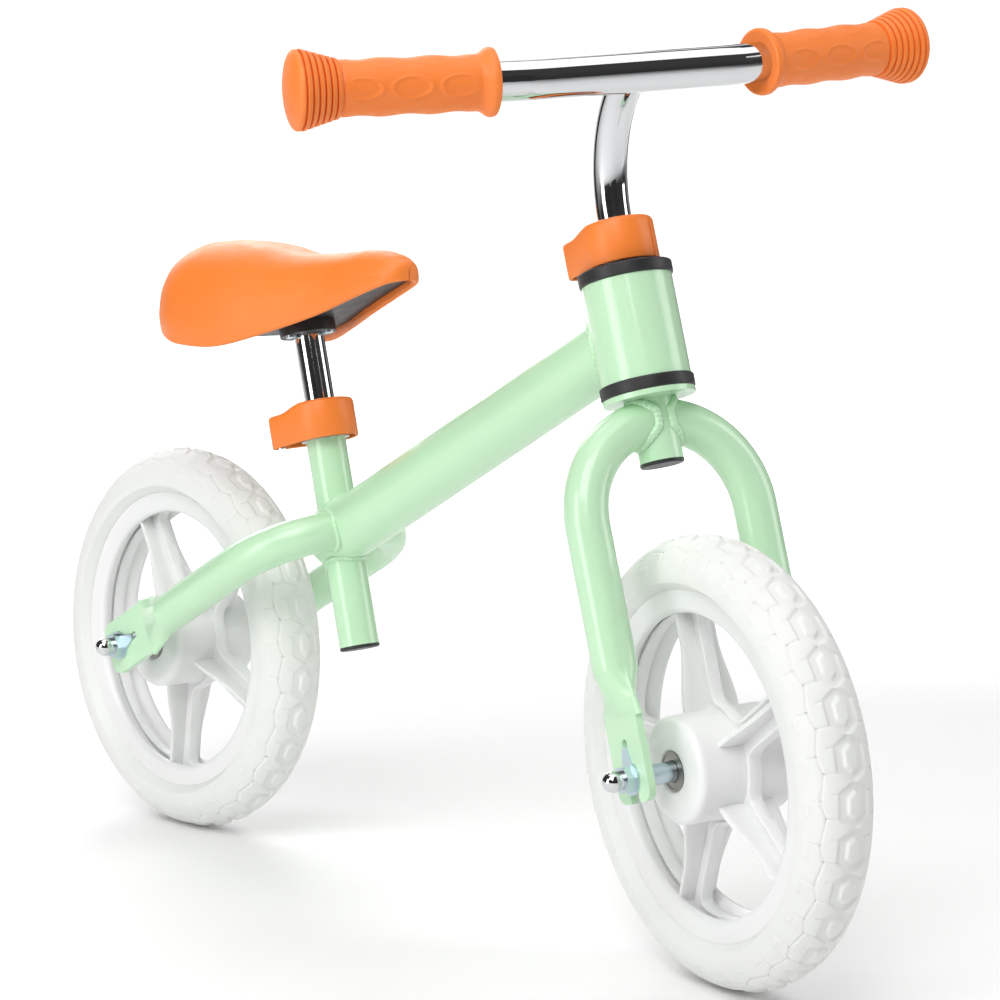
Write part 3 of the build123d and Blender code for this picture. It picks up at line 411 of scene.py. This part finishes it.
def tyre(name, place):
    """A ring of foam: the section is a round crown on two straight flanks to the rim seat.

    The crown's points stand out from its centre line by the tread's relief.
    """
    centre = WHEEL_RADIUS - TYRE_CROWN
    crown = np.radians(np.concatenate([np.linspace(-90, -80, 4)[:-1], np.linspace(-80, 80, 92),
                                       np.linspace(80, 90, 4)[1:]]))
    steps = TREAD_PITCHES * STEPS_PER_PITCH
    angle = np.linspace(0, 2 * pi, steps, endpoint=False)
    around = (np.arange(steps) / STEPS_PER_PITCH) % 1.0 - 0.5
    relief = tread_relief(around[:, None], (crown * TYRE_CROWN)[None, :])
    swell = TYRE_CROWN + relief - 0.3
    radius = centre + swell * np.cos(crown)[None, :]
    height = swell * np.sin(crown)[None, :]
    foot_r = np.array([117.0, 113.5, RIM_RADIUS + 0.05, RIM_RADIUS + 0.05, 113.5, 117.0])
    foot_h = np.array([24.3, 19.6, RIM_HALF - 0.1, 0.1 - RIM_HALF, -19.6, -24.3])
    radius = np.concatenate([radius, foot_r[None, :].repeat(steps, 0)], 1)
    height = np.concatenate([height, foot_h[None, :].repeat(steps, 0)], 1)
    points = place.at(radius * np.cos(angle)[:, None], radius * np.sin(angle)[:, None], height)
    piece = Shell().grid(points, around=True, along=True).make(f"{name}_tyre_tread")
    return place_piece(piece, f"{name}_wheel", "white_foam", f"{name}_tyre")


# ---------------------------------------------------------------- wheels
def window_loops():
    """One window's outline and the sector's outline round it, point for point.

    The window follows the hub's disc, a line beside each spoke and the rim, and its
    corners are rounded by averaging neighbours.  The sector runs down the middles of
    the two spokes.
    """
    half = pi / SPOKES
    inner, outer = 39.8, 99.0
    t_in, t_side, t_out = (np.linspace(0, 1, n, endpoint=False) for n in (22, 40, 56))

    def loop(spoke_half, low, high):
        a_low, a_high = half - np.arcsin(spoke_half / low), half - np.arcsin(spoke_half / high)
        arc_in = [low * np.exp(1j * a_low * (2 * t_in - 1))]
        rise = low * np.exp(1j * a_low) + t_side * (high * np.exp(1j * a_high)
                                                    - low * np.exp(1j * a_low))
        arc_out = high * np.exp(1j * a_high * (1 - 2 * t_out))
        fall = np.conj(low * np.exp(1j * a_low) + (1 - t_side) * (high * np.exp(1j * a_high)
                                                                  - low * np.exp(1j * a_low)))
        return np.concatenate([*arc_in, rise, arc_out, fall])

    window = loop(SPOKE_HALF, inner, outer)
    kernel = np.exp(-0.5 * (np.arange(-9, 10) / 3.2) ** 2)
    kernel /= kernel.sum()
    wrapped = np.concatenate([window[-9:], window, window[:9]])
    window = np.convolve(wrapped, kernel, mode="valid")
    return window, loop(1e-9, HUB_RADIUS - 2.0, RIM_RADIUS - 6.5)


def web_sector(place, direction):
    """The web round one window: its rolled edge, then the plain plate to the sector's border."""
    window, border = window_loops()
    turn = np.exp(1j * radians(direction))
    gap = np.abs(border - window)
    outward = (border - window) / gap
    section = [(1.0, WEB_HALF), (4.4, WEB_HALF), (3.4, WEB_HALF + 0.4), (3.0, WINDOW_EDGE - 0.5),
               (2.4, WINDOW_EDGE), (0.7, WINDOW_EDGE), (0.15, WINDOW_EDGE - 0.6), (0.0, 0.0)]
    section += [(d, -h) for d, h in reversed(section[:-1])]
    rows = []
    for number, (distance, height) in enumerate(section):
        step = gap if number in (0, len(section) - 1) else np.full(len(gap), distance)
        point = (window + outward * step) * turn
        rows.append(place.at(point.real, point.imag, height))
    return np.stack(rows)


def spoke_rib(place, direction):
    """A thin plate along the axle through a spoke: deep at the hub, shallow at the rim."""
    spoke = place.turned(direction)
    radius = np.linspace(HUB_RADIUS - 2, 103.0, 24)
    depth = 13.4 + 6.6 * (1 - smooth_step((radius - 34.0) / 46.0))
    thick = 2.0 - 0.35 * smooth_step((radius - 34.0) / 60.0)
    corner = rounded([(-1, -1), (1, -1), (1, 1), (-1, 1)], 0.35)
    return spoke.at(radius[:, None], corner[None, :, 0] * thick[:, None],
                    corner[None, :, 1] * depth[:, None])


def hub_profile():
    """Half of the drum's section, from the bearing seat out over the face to the middle."""
    face = [(BEARING_RADIUS + 0.05, HUB_HALF - 8.0), (BEARING_RADIUS + 0.05, HUB_HALF - 0.7),
            (BEARING_RADIUS + 0.8, HUB_HALF - 0.1), (BEARING_RADIUS + 3.0, HUB_HALF),
            (27.5, HUB_HALF), (31.0, HUB_HALF - 0.5), (33.2, HUB_HALF - 1.8),
            (34.3, HUB_HALF - 3.8), (HUB_RADIUS, HUB_HALF - 6.0), (HUB_RADIUS, 6.0),
            (HUB_RADIUS + 0.9, 3.4), (HUB_RADIUS + 2.6, WEB_HALF)]
    mirror = [(r, -h) for r, h in reversed(face)]
    bore = [(BEARING_RADIUS - 3.6, 8.0 - HUB_HALF), (BEARING_RADIUS - 3.6, HUB_HALF - 8.0)]
    return face + mirror + bore


def rim_profile():
    """The ring's section: a flat seat, two rounded lips and a dished inner face."""
    half = [(RIM_RADIUS, RIM_HALF - 0.1), (RIM_RADIUS - 1.0, RIM_HALF), (101.0, RIM_HALF - 0.1),
            (98.6, RIM_HALF - 0.7), (RIM_LIP_RADIUS + 0.3, RIM_HALF - 2.2),
            (RIM_LIP_RADIUS, RIM_HALF - 4.0), (RIM_LIP_RADIUS + 0.5, RIM_HALF - 5.6),
            (99.6, RIM_HALF - 8.6), (101.6, RIM_HALF - 12.0), (102.2, 2.0)]
    return half + [(r, -h) for r, h in reversed(half)]


def wheel_moulding(name, place):
    """Rim, web, ribs and hub drum as one moulding."""
    shell = Shell()
    for profile in (hub_profile(), rim_profile()):
        ring = turn_profile(place, profile, 144)
        shell.grid(ring, around=True, along=True)
    sector = 360.0 / SPOKES
    for number in range(SPOKES):
        direction = FIRST_SPOKE[name] + number * sector
        shell.grid(web_sector(place, direction + sector / 2), around=True)
        shell.grid(spoke_rib(place, direction), around=True, capped=True)
    piece = shell.make(f"{name}_wheel_moulding", 40)
    return place_piece(piece, f"{name}_wheel", "white_plastic", f"{name}_rim",
                       f"{name}_spoked_hub")


# ---------------------------------------------------------------- welds
def seam(path, radius, leaves):
    """Where a round tube along a path first comes out of another shape.

    For every direction round the tube, leaves gives the signed distance of the
    tube's points outside the other shape, and the crossing is found by
    interpolating where that changes sign.
    """
    first, second = tube_frames(path)
    angle = np.linspace(0, 2 * pi, 120, endpoint=False)
    skin = (path[:, None] + radius * MM * (np.cos(angle)[None, :, None] * first[:, None]
                                           + np.sin(angle)[None, :, None] * second[:, None]))
    outside = leaves(skin)
    row = np.argmax(outside > 0, axis=0)
    row = np.maximum(row, 1)
    column = np.arange(len(angle))
    before, after = outside[row - 1, column], outside[row, column]
    t = np.clip(-before / (after - before + 1e-12), 0, 1)[:, None]
    return skin[row - 1, column] * (1 - t) + skin[row, column] * t


def outside_tube(place, radius):
    """Signed distance in metres outside a round tube on a place's z."""
    def distance(points):
        local = points - place.origin
        along = (local @ place.z)[..., None] * place.z
        return np.linalg.norm(local - along, axis=-1) - radius * MM
    return distance


def parted(loop, side, gap=5.0):
    """A leg's seam kept to its own side of the steerer, on the steerer's skin."""
    x, y, z = ((loop - FORK.origin) @ d / MM for d in (FORK.x, FORK.y, FORK.z))
    near = np.maximum(side * y, gap)
    ahead = np.sign(x) * np.sqrt(np.maximum(SMALL_TUBE_RADIUS ** 2 - near ** 2, 0))
    return FORK.at(ahead, side * near, z)


def bead(loop, radius=2.3, ripple=0.16, pitch=3.4):
    """A weld bead: a closed rope along a loop, whose thickness ripples at each pool."""
    loop = np.asarray(loop)
    kernel = np.ones(5) / 5
    wrapped = np.concatenate([loop[-2:], loop, loop[:2]])
    loop = np.stack([np.convolve(wrapped[:, k], kernel, mode="valid") for k in range(3)], 1)
    step = np.linalg.norm(np.roll(loop, -1, 0) - loop, axis=1)
    length = np.concatenate([[0], np.cumsum(step)])
    count = int(length[-1] / (pitch * MM)) * 6
    place = np.linspace(0, length[-1], count, endpoint=False)
    closed = np.concatenate([loop, loop[:1]])
    path = np.stack([np.interp(place, length, closed[:, k]) for k in range(3)], 1)
    along = np.roll(path, -1, 0) - np.roll(path, 1, 0)
    along /= np.linalg.norm(along, axis=1)[:, None]
    outward = path - path.mean(0)
    outward -= (outward * along).sum(1)[:, None] * along
    outward /= np.linalg.norm(outward, axis=1)[:, None]
    other = np.cross(along, outward)
    size = radius * MM * (1 - ripple / 2 + ripple * np.abs(np.sin(np.arange(count) * pi / 6)))
    angle = np.linspace(0, 2 * pi, 10, endpoint=False)
    return (path[:, None] + size[:, None, None] * (np.cos(angle)[None, :, None] * outward[:, None]
                                                   + np.sin(angle)[None, :, None] * other[:, None]))


def line(start, end, steps=400):
    t = np.linspace(0, 1, steps)[:, None]
    return start * (1 - t) + end * t


def stay_path(side):
    """A stay's centre line: out of the main tube, round the bend and back."""
    t = np.linspace(0, pi / 2, 200)
    reach = STAY_BEND * np.sin(t)
    back = STAY_BEND * (1 - np.cos(t))
    return MAIN.at(0, side * (LEG_OFFSET - STAY_BEND + reach), STAY_WELD_AT - back)


def leg_path(side):
    """A leg's centre line round the fork's arch, from the steerer outwards."""
    t = np.linspace(0.0, pi / 2, 200)
    return FORK.at(0, side * LEG_OFFSET * np.sin(t), ARCH_CENTRE + LEG_OFFSET * np.cos(t))


def welds():
    frame_beads, fork_beads = Shell(), Shell()
    in_main = outside_tube(MAIN, MAIN_TUBE_RADIUS)
    in_head = outside_tube(HEAD, HEAD_TUBE_RADIUS)
    apex = HEAD.at(0, 0, HEAD_TUBE_AT)
    tail = MAIN.at(0, 0, SEAT_TUBE_AT)
    frame_beads.grid(bead(seam(line(apex, tail), MAIN_TUBE_RADIUS, in_head), 2.4), along=True)
    for end in (110, -110):
        run = line(tail, SEAT.at(0, 0, end))
        frame_beads.grid(bead(seam(run, SMALL_TUBE_RADIUS, in_main), 2.0), along=True)
    for side in (1, -1):
        frame_beads.grid(bead(seam(stay_path(side), SMALL_TUBE_RADIUS, in_main), 2.1), along=True)
        in_steerer = outside_tube(FORK, SMALL_TUBE_RADIUS)
        legs = seam(leg_path(side), SMALL_TUBE_RADIUS, in_steerer)
        fork_beads.grid(bead(parted(legs, side), 3.0), along=True)
    place_piece(frame_beads.make("frame_weld_beads", 60), "frame", "mint_paint")
    place_piece(fork_beads.make("fork_weld_beads", 60), "fork", "mint_paint")


# ---------------------------------------------------------------- grips
BAR_FORWARD = 59.4          # the bar's middle ahead of the stem's axis
BAR_UP = 431.5              # and along it from the front axle
BAR_STRAIGHT = 69.0         # half of the bar's straight middle
BAR_BACK = 0.145            # slopes of the bar's ends, back and up
BAR_RISE = 0.072
GRIP_START = 93.4
GRIP_LENGTH = 123.0
GRIP_RADIUS = 17.8
BODY_RADIUS = 17.45         # the grip's body before its relief
GRIP_CAP_RADIUS = 24.8
BAR_RADIUS = 12.7
CONE_START = GRIP_LENGTH - 24.0
CONE_RIBS = 6
OVAL_TURN = 0.35            # radians from straight ahead down to the row of ovals


def grip_place(side):
    """A grip's own place: z outwards along the swept bar, from the inner flange."""
    sweep = unit(BAR.x * -BAR_BACK + BAR.z * BAR_RISE)
    slope = sqrt(BAR_BACK ** 2 + BAR_RISE ** 2)
    start = (BAR.at(BAR_FORWARD, 0, BAR_UP) + BAR.y * side * GRIP_START * MM
             + sweep * slope * (GRIP_START - BAR_STRAIGHT) * MM)
    return Place(start, BAR.y * side + sweep * slope, BAR.x)


def grip_relief(around, along, facing):
    """Millimetres of relief on a grip's body: three ovals front and back, and wavy shoulders.

    The ovals' row stands at facing radians round the grip.

    An oval is a dish with a raised rim where an ellipse's value passes one.  The
    shoulders are a slow wave along the grip, above and below the ovals.
    """
    relief = np.zeros(np.broadcast(around, along).shape)
    for direction in (facing, facing + pi):
        turn = (around - direction + pi) % (2 * pi) - pi
        for middle in (24.7, 55.5, 86.3):
            oval = np.hypot((along - middle) / 12.4, turn * GRIP_RADIUS / 6.6)
            relief += 0.5 * np.exp(-((oval - 1.0) / 0.1) ** 2) - 0.45 * smooth_step((1 - oval) * 4)
    side = np.abs(np.sin(around - facing))
    wave = np.cos((along - 24.7) / 30.8 * 2 * pi)
    ridge = np.exp(-((side - 0.80 - 0.09 * wave) / 0.07) ** 2)
    body = smooth_step((along - 14.0) / 6.0) * smooth_step((CONE_START - 4.0 - along) / 6.0)
    return (relief + 0.32 * ridge - 0.55 * wave * smooth_step((side - 0.6) / 0.4)) * body


def grip(side):
    """A rubber grip: rounded flange, body in relief, ribbed safety cone, domed end.

    The radius is a function of the length along the bar; the cone is a straight
    flare with rectangular grooves cut into it.
    """
    place = grip_place(side)
    flange = [(BAR_RADIUS, 1.6), (16.4, 0.8), (19.6, 0.0), (21.0, 0.7), (21.5, 2.4), (21.3, 4.4),
              (20.3, 6.2), (18.9, 7.8), (18.1, 9.4), (17.5, 11.0)]
    body = np.linspace(12.0, CONE_START - 2.0, 120)
    cone = []
    flare = (GRIP_CAP_RADIUS - GRIP_RADIUS) / (GRIP_LENGTH - CONE_START)
    pitch = (GRIP_LENGTH - CONE_START) / CONE_RIBS
    for rib in range(CONE_RIBS):
        low = CONE_START + rib * pitch
        edge = GRIP_RADIUS + 0.4 + flare * (rib + 0.35) * pitch
        floor_radius = edge - 2.2
        cone += [(floor_radius, low - 0.1), (edge - 0.35, low + 0.1), (edge, low + 0.5),
                 (edge + 0.4, low + pitch - 1.5), (edge + 0.1, low + pitch - 1.15),
                 (floor_radius + 0.3, low + pitch - 1.0)]
    cap = [(22.0, GRIP_LENGTH - 0.1), (24.2, GRIP_LENGTH + 0.1),
           (GRIP_CAP_RADIUS, GRIP_LENGTH + 0.9)]
    rise = np.linspace(0, 1, 14)[1:-1]
    dome = [(GRIP_CAP_RADIUS * cos(t * pi / 2), GRIP_LENGTH + 1.4 + 6.4 * sin(t * pi / 2))
            for t in rise]
    profile = flange + [(BODY_RADIUS, z) for z in body] + cone + cap + dome
    profile = np.array(profile + [(0.02, GRIP_LENGTH + 7.9), (0.02, 118.0), (BAR_RADIUS, 118.0)])
    angle = np.linspace(0, 2 * pi, 192, endpoint=False)[None, :]
    radius, along = profile[:, :1], profile[:, 1:]
    on_body = (radius == BODY_RADIUS)
    radius = radius + np.where(on_body, grip_relief(angle, along, OVAL_TURN * side), 0.0)
    points = place.at(radius * np.cos(angle), radius * np.sin(angle), along)
    name = "left_grip" if side > 0 else "right_grip"
    piece = Shell().grid(points, along=True).make(f"{name}_rubber", 38)
    return place_piece(piece, "handlebar", "orange_rubber", name)


# ---------------------------------------------------------------- clamps
CLAMP_HALF = 14.0
SHELL_RADIUS = 24.0
LOBE_REACH = 32.5
LOBE_RADIUS = 7.5
LOBE_DROP = 4.0
LOBE_GAP = 0.3              # between the lever's lobe and the cover's thinned end
LOBE_END = -42.0            # degrees round the lobe to where the lever's wall stops
COVER_SHORT = 3.3           # the cover stops this far before its tangent point
NEAR_PIN = 12.0             # this near the lever's pin the cover's wall is thinned
THINNEST_WALL = 0.25
NO_LIMIT = 99.0             # deeper than any wall
CLAMPS = {"seat": ("frame", SEAT), "head": ("fork", FORK)}


def clamp_place(name):
    """A clamp's own place: z up the tube, x from the tube's middle to the lever's pin."""
    joint = JOINTS[f"{name}_clamp_lever_swing"]
    tube = CLAMPS[name][1]
    pin = np.array(joint["pos_m"])
    rise = np.dot(pin - tube.origin, tube.z)
    centre = tube.origin + rise * tube.z
    return Place(centre, tube.z, pin - centre)


def comma_outline(side, whole):
    """Outline points and inward directions of one side of the comma.

    An arc of the ring, the straight tangent to the lobe, and for the lever the
    lobe's own arc round its tip.
    """
    tangent = pi / 2 - np.arcsin((SHELL_RADIUS - LOBE_RADIUS) / LOBE_REACH)
    ring = np.exp(1j * np.linspace(radians(178.4), tangent, 40))
    tip = np.exp(1j * np.linspace(tangent, radians(LOBE_END), 40))
    run = np.linspace(0, 1, 12)
    first = SHELL_RADIUS * ring[-1]
    last = LOBE_REACH + LOBE_RADIUS * tip[0]
    if whole:
        points = np.concatenate([SHELL_RADIUS * ring, first + run[1:-1] * (last - first),
                                 LOBE_REACH + LOBE_RADIUS * tip])
        inward = -np.concatenate([ring, np.full(10, ring[-1]), tip])
    else:
        stop = last - (last - first) / abs(last - first) * COVER_SHORT
        points = np.concatenate([SHELL_RADIUS * ring, first + run[1:] * (stop - first)])
        inward = -np.concatenate([ring, np.full(11, ring[-1])])
    return (points, inward) if side > 0 else (np.conj(points), np.conj(inward))


def clamp_shell(name, piece_name, side, body):
    """A moulded wall along the comma, its top edge rounded in to a narrow lip.

    The top's height steps down smoothly towards the lobe.
    """
    place = clamp_place(name)
    middle = place.moved(z=LOBE_DROP / 2)
    points, inward = comma_outline(side, side > 0)
    top = CLAMP_HALF - LOBE_DROP * smooth_step((points.real - 10.0) / 20.0)
    to_pin = np.abs(points - LOBE_REACH)
    clear_of_lobe = (LOBE_RADIUS + LOBE_GAP) ** 2 - to_pin ** 2 + LOBE_RADIUS ** 2
    room = LOBE_RADIUS - np.sqrt(np.maximum(clear_of_lobe, 0))
    room = np.where((side < 0) & (to_pin < NEAR_PIN), np.maximum(room, THINNEST_WALL), NO_LIMIT)
    low = -CLAMP_HALF
    wall = [(1.6, 0, 0.25), (0.5, 0, 0.15), (0.0, 0, 0.9), (0.0, 1, -3.4), (0.25, 1, -2.0),
            (0.8, 1, -0.95), (1.7, 1, -0.3), (2.9, 1, 0.0), (4.6, 1, 0.0), (4.8, 1, -0.5),
            (4.6, 1, -1.6), (3.2, 1, -1.9), (2.3, 1, -3.0), (2.2, 0, 0.8)]
    rows = []
    for depth, from_top, lift in wall:
        spot = points + inward * np.minimum(depth, room)
        height = (top if from_top else np.full(len(points), low)) + lift
        rows.append(middle.at(spot.real, spot.imag, height))
    piece = Shell().grid(np.stack(rows, 1), capped=True).make(piece_name, 42)
    return place_piece(piece, body, "orange_plastic")


def clamps():
    for name, (body, _) in CLAMPS.items():
        cover = clamp_shell(name, f"{name}_clamp_moulded_cover", -1, body)
        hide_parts(f"{name}_clamp_cover")
        lever = clamp_shell(name, f"{name}_clamp_moulded_lever", 1, f"{name}_clamp_handle")
        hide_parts(f"{name}_clamp_lever")


# ---------------------------------------------------------------- saddle
# forward of the seat post's head, half width, top, lower edge, millimetres
SADDLE_STATIONS = np.array([
    (-137, 0.5, 17, -8), (-135.4, 15, 22, -8.5), (-132, 26, 28, -9.5),
    (-123, 43, 37, -12.5), (-105, 56, 47, -18), (-80, 62, 53, -22), (-38, 58, 52, -21),
    (5, 44, 47, -9), (45, 31, 49, 5), (80, 25, 53, 19), (102, 20.5, 51, 27),
    (111, 15.5, 47, 30), (116, 8.5, 44, 31.5), (117.6, 0.5, 41, 32)], float)
POST_HEAD = 160.0


def through(stations, t):
    """A smooth curve through every station: cubic pieces whose slopes are chord averages."""
    knots = np.linspace(0, 1, len(stations))
    slope = np.gradient(stations, knots, axis=0)
    i = np.clip(np.searchsorted(knots, t, side="right") - 1, 0, len(knots) - 2)
    h = knots[1] - knots[0]
    s = ((t - knots[i]) / h)[:, None]
    a, b, da, db = stations[i], stations[i + 1], slope[i] * h, slope[i + 1] * h
    return ((2 * s ** 3 - 3 * s ** 2 + 1) * a + (s ** 3 - 2 * s ** 2 + s) * da
            + (3 * s ** 2 - 2 * s ** 3) * b + (s ** 3 - s ** 2) * db)


def saddle_skin(drawn_in):
    """The saddle's crowned skin: sections across the length, drawn in by a few millimetres.

    A section goes from the right lower edge over the crown to the left: its side
    bulges out above the edge and its crown is a flattened arch.
    """
    rows = through(SADDLE_STATIONS, np.linspace(0, 1, 150))
    forward, half, top, low = rows.T
    v = np.linspace(-1, 1, 97)
    ride = np.abs(v)
    row = np.arange(len(rows))
    inner = smooth_step((np.minimum(row, row[::-1]) - 10) / 26.0)[:, None]
    slack = 0.5 + (drawn_in - 0.5) * smooth_step((1 - ride) / 0.3) * inner
    corner = np.array([(0, 1.0), (0.42, 0.965), (0.76, 0.80), (0.955, 0.52), (0.995, 0.26),
                       (0.93, 0.0)])
    shape = through(corner, ride)
    across = np.sign(v) * shape[:, 0] * np.maximum(half[:, None] - slack, 0.3)
    height = low[:, None] + shape[:, 1] * (top[:, None] - 0.7 * slack - low[:, None])
    head = SEAT.at(0, 0, POST_HEAD)
    x = head[0] / MM + forward[:, None] + 0 * across
    return np.stack([x, across, head[2] / MM + height], -1) * MM


def puffed(points, cap):
    """The skin after its padding swells: cloth under pressure, held along its lower edge.

    No point may move farther than cap metres.
    """
    shell = Shell()
    shell.grid(points, around=False)
    mesh = bpy.data.meshes.new("saddle_swell")
    mesh.from_pydata(shell.points[0], [], shell.faces[0][:, ::-1].tolist())
    cloth = bpy.data.objects.new("saddle_swell", mesh)
    bpy.context.scene.collection.objects.link(cloth)
    pins = cloth.vertex_groups.new(name="held")
    count = np.arange(len(shell.points[0])).reshape(points.shape[:2])
    held = np.concatenate([count[:, :6].ravel(), count[:, -6:].ravel(), count[:8].ravel(),
                           count[-8:].ravel()])
    pins.add(np.unique(held).tolist(), 1.0, "REPLACE")
    modifier = cloth.modifiers.new("padding", "CLOTH")
    settings = modifier.settings
    settings.vertex_group_mass = "held"
    settings.use_pressure = True
    settings.uniform_pressure_force = 4.0
    settings.effector_weights.gravity = 0.0
    settings.tension_stiffness = settings.compression_stiffness = 40
    settings.bending_stiffness = 6
    modifier.point_cache.frame_start, modifier.point_cache.frame_end = 1, 20
    for step in range(1, 21):
        bpy.context.scene.frame_set(step)
    bpy.context.view_layer.update()
    solved = cloth.evaluated_get(bpy.context.evaluated_depsgraph_get()).to_mesh()
    flat = np.empty(len(solved.vertices) * 3)
    solved.vertices.foreach_get("co", flat)
    row = np.arange(len(points))
    fade = smooth_step(np.minimum(row, row[::-1]) / 22.0)[:, None, None]
    moved = (flat.reshape(points.shape) - points) * fade
    bpy.data.objects.remove(cloth)
    bpy.data.meshes.remove(mesh)
    bpy.context.scene.frame_set(1)
    size = np.linalg.norm(moved, axis=-1, keepdims=True)
    return points + moved * np.minimum(1.0, cap / np.maximum(size, 1e-9))


def saddle():
    """The padded skin, rolled under at its lower edge into a lip with an inner wall.

    The edge is a closed curve in plan, and each row of the lip stands inward and
    up from it by fixed amounts.
    """
    skin = puffed(saddle_skin(3.0), 0.004)
    edge = np.concatenate([skin[:, 0], skin[::-1, -1][1:-1]])
    ahead = np.roll(edge, -1, 0) - np.roll(edge, 1, 0)
    inward = np.cross(ahead, [0, 0, 1.0])
    inward /= np.maximum(np.linalg.norm(inward, axis=1), 1e-9)[:, None]
    centre = edge.mean(0)
    inward *= np.sign(np.sum(inward * (centre - edge), 1).sum())
    kernel = np.ones(7) / 7
    wrapped = np.concatenate([inward[-3:], inward, inward[:3]])
    inward = np.stack([np.convolve(wrapped[:, k], kernel, mode="valid") for k in range(3)], 1)
    room = np.minimum(1.0, np.abs(edge[:, 1]) / (7.0 * MM))[:, None]
    thick = skin[:, skin.shape[1] // 2, 2] - skin[:, 0, 2]
    thick = np.concatenate([thick, thick[::-1][1:-1]])
    upright = np.array([0, 0, 1.0]) * np.clip(thick / (32.0 * MM), 0.05, 1.0)[:, None]
    lip = [(0.0, 0.0), (0.5, -1.3), (1.7, -2.1), (3.1, -2.0), (4.3, -1.0), (4.9, 0.7), (5.1, 4.5),
           (5.3, 13.0)]
    rows = np.stack([edge + (inward * room * d + upright * h) * MM for d, h in lip])
    shell = Shell()
    shell.grid(skin, around=False)
    shell.grid(rows, around=True)
    piece = shell.make("saddle_padding", 60, 0.0001)
    place_piece(piece, "saddle", "orange_saddle_skin", "saddle_cover")
    finer = piece.modifiers.new("smooth", "SUBSURF")
    finer.levels = finer.render_levels = 1


# ---------------------------------------------------------------- scene
dress_cad_nodes()
for wheel_name, wheel_place in WHEELS.items():
    tyre(wheel_name, wheel_place)
    wheel_moulding(wheel_name, wheel_place)
welds()
grip(1)
grip(-1)
clamps()
saddle()


def floor():
    """A pale floor that curves up into a pale backdrop far behind."""
    distance = np.array([-6.0, 2.0, 3.2, 4.2, 5.0, 5.5, 5.8, 6.0, 6.0])
    height = np.array([0.0, 0.0, 0.06, 0.25, 0.6, 1.1, 1.8, 2.8, 6.0])
    away = unit([-0.747, 0.649, 0.0])
    beside = np.cross([0, 0, 1], away)
    width = np.linspace(-9, 9, 3)
    points = (distance[:, None, None] * away + width[None, :, None] * beside
              + height[:, None, None] * np.array([0, 0, 1]))
    piece = Shell().grid(points, around=False).make("studio_floor", 180)
    finish = Finish("studio_paper", (0.93, 0.93, 0.93), 0.7)
    finish.tint(finish.spread(finish.noise(2.0), 0.3, 0.7, 0.0, 0.2), (0.91, 0.91, 0.91))
    piece.data.materials.append(finish.material)


def dark_cards():
    """Four dark cards round the set, seen only in the bright metal."""
    finish = Finish("flag_cloth", (0.01, 0.01, 0.01), 0.9)
    finish.tint(finish.noise(3.0), (0.014, 0.014, 0.014))
    for number, direction in enumerate((-62, -18, 118, 200)):
        a = radians(direction)
        middle = np.array([0.3 + 2.6 * cos(a), 2.6 * sin(a), 1.0])
        beside = np.array([-sin(a), cos(a), 0.0])
        across, up = np.linspace(-0.75, 0.75, 4), np.linspace(-0.85, 0.95, 4)
        points = (middle + across[:, None, None] * beside
                  + up[None, :, None] * np.array([0, 0, 1.0]))
        card = Shell().grid(points, around=False).make(f"dark_card_{number}", 180)
        card.data.materials.append(finish.material)
        card.visible_camera = card.visible_diffuse = card.visible_shadow = False


def soft_light(name, place, target, size, power, colour=(1, 1, 1)):
    light = bpy.data.lights.new(name, "AREA")
    light.shape = "RECTANGLE"
    light.size, light.size_y = size
    light.energy = power
    light.color = colour
    lamp = bpy.data.objects.new(name, light)
    back = unit(np.subtract(place, target))
    x = unit(np.cross([0, 0, 1], back))
    y = np.cross(back, x)
    matrix = Matrix([[*row] for row in np.column_stack([x, y, back])]).to_4x4()
    matrix.translation = place
    lamp.matrix_world = matrix
    bpy.context.scene.collection.objects.link(lamp)


def studio():
    """Large soft boxes over and either side, and a dim surround for the chrome to darken in."""
    middle = (0.3, 0.0, 0.3)
    soft_light("key", (1.6, -2.2, 2.6), middle, (2.2, 2.2), 70)
    soft_light("top", (0.3, 0.2, 3.4), middle, (3.5, 3.5), 58)
    soft_light("left", (2.4, 2.6, 1.6), middle, (1.6, 2.2), 30)
    soft_light("side", (0.1, -3.0, 0.9), middle, (1.1, 2.2), 30)
    soft_light("back", (-2.6, 1.2, 2.0), middle, (2.0, 2.0), 40)
    soft_light("backdrop", (-1.2, 1.0, 3.0), (-4.5, 3.9, 1.5), (4.0, 2.0), 200)
    world = bpy.data.worlds.new("dim_surround")
    bpy.context.scene.world = world
    world.use_nodes = True
    nodes, links = world.node_tree.nodes, world.node_tree.links
    direction = nodes.new("ShaderNodeTexCoord").outputs["Generated"]
    height = nodes.new("ShaderNodeSeparateXYZ")
    links.new(direction, height.inputs["Vector"])
    glow = nodes.new("ShaderNodeMapRange")
    links.new(height.outputs["Z"], glow.inputs["Value"])
    for name, number in (("From Min", 0.22), ("From Max", 0.5), ("To Min", 0.8), ("To Max", 1.1)):
        glow.inputs[name].default_value = number
    links.new(glow.outputs["Result"], nodes["Background"].inputs["Strength"])
    bpy.context.scene.view_settings.view_transform = "Standard"


def camera():
    """A long lens from the front right, a little above the wheels."""
    data = bpy.data.cameras.new("camera")
    data.lens, data.sensor_width = 113.51, 36.0
    data.shift_x, data.shift_y = -0.003, 0.06
    data.clip_end = 50
    eye = bpy.data.objects.new("camera", data)
    forward, down = unit([-0.7474, 0.64873, -0.14333]), unit([0.11992, -0.08047, -0.98952])
    right = np.cross(down, forward)
    turn = Matrix([[*row] for row in np.column_stack([right, -down, -forward])]).to_4x4()
    turn.translation = (1.9493, -1.3787, 0.5526)
    eye.matrix_world = turn
    bpy.context.scene.collection.objects.link(eye)
    bpy.context.scene.camera = eye


floor()
dark_cards()
studio()
camera()
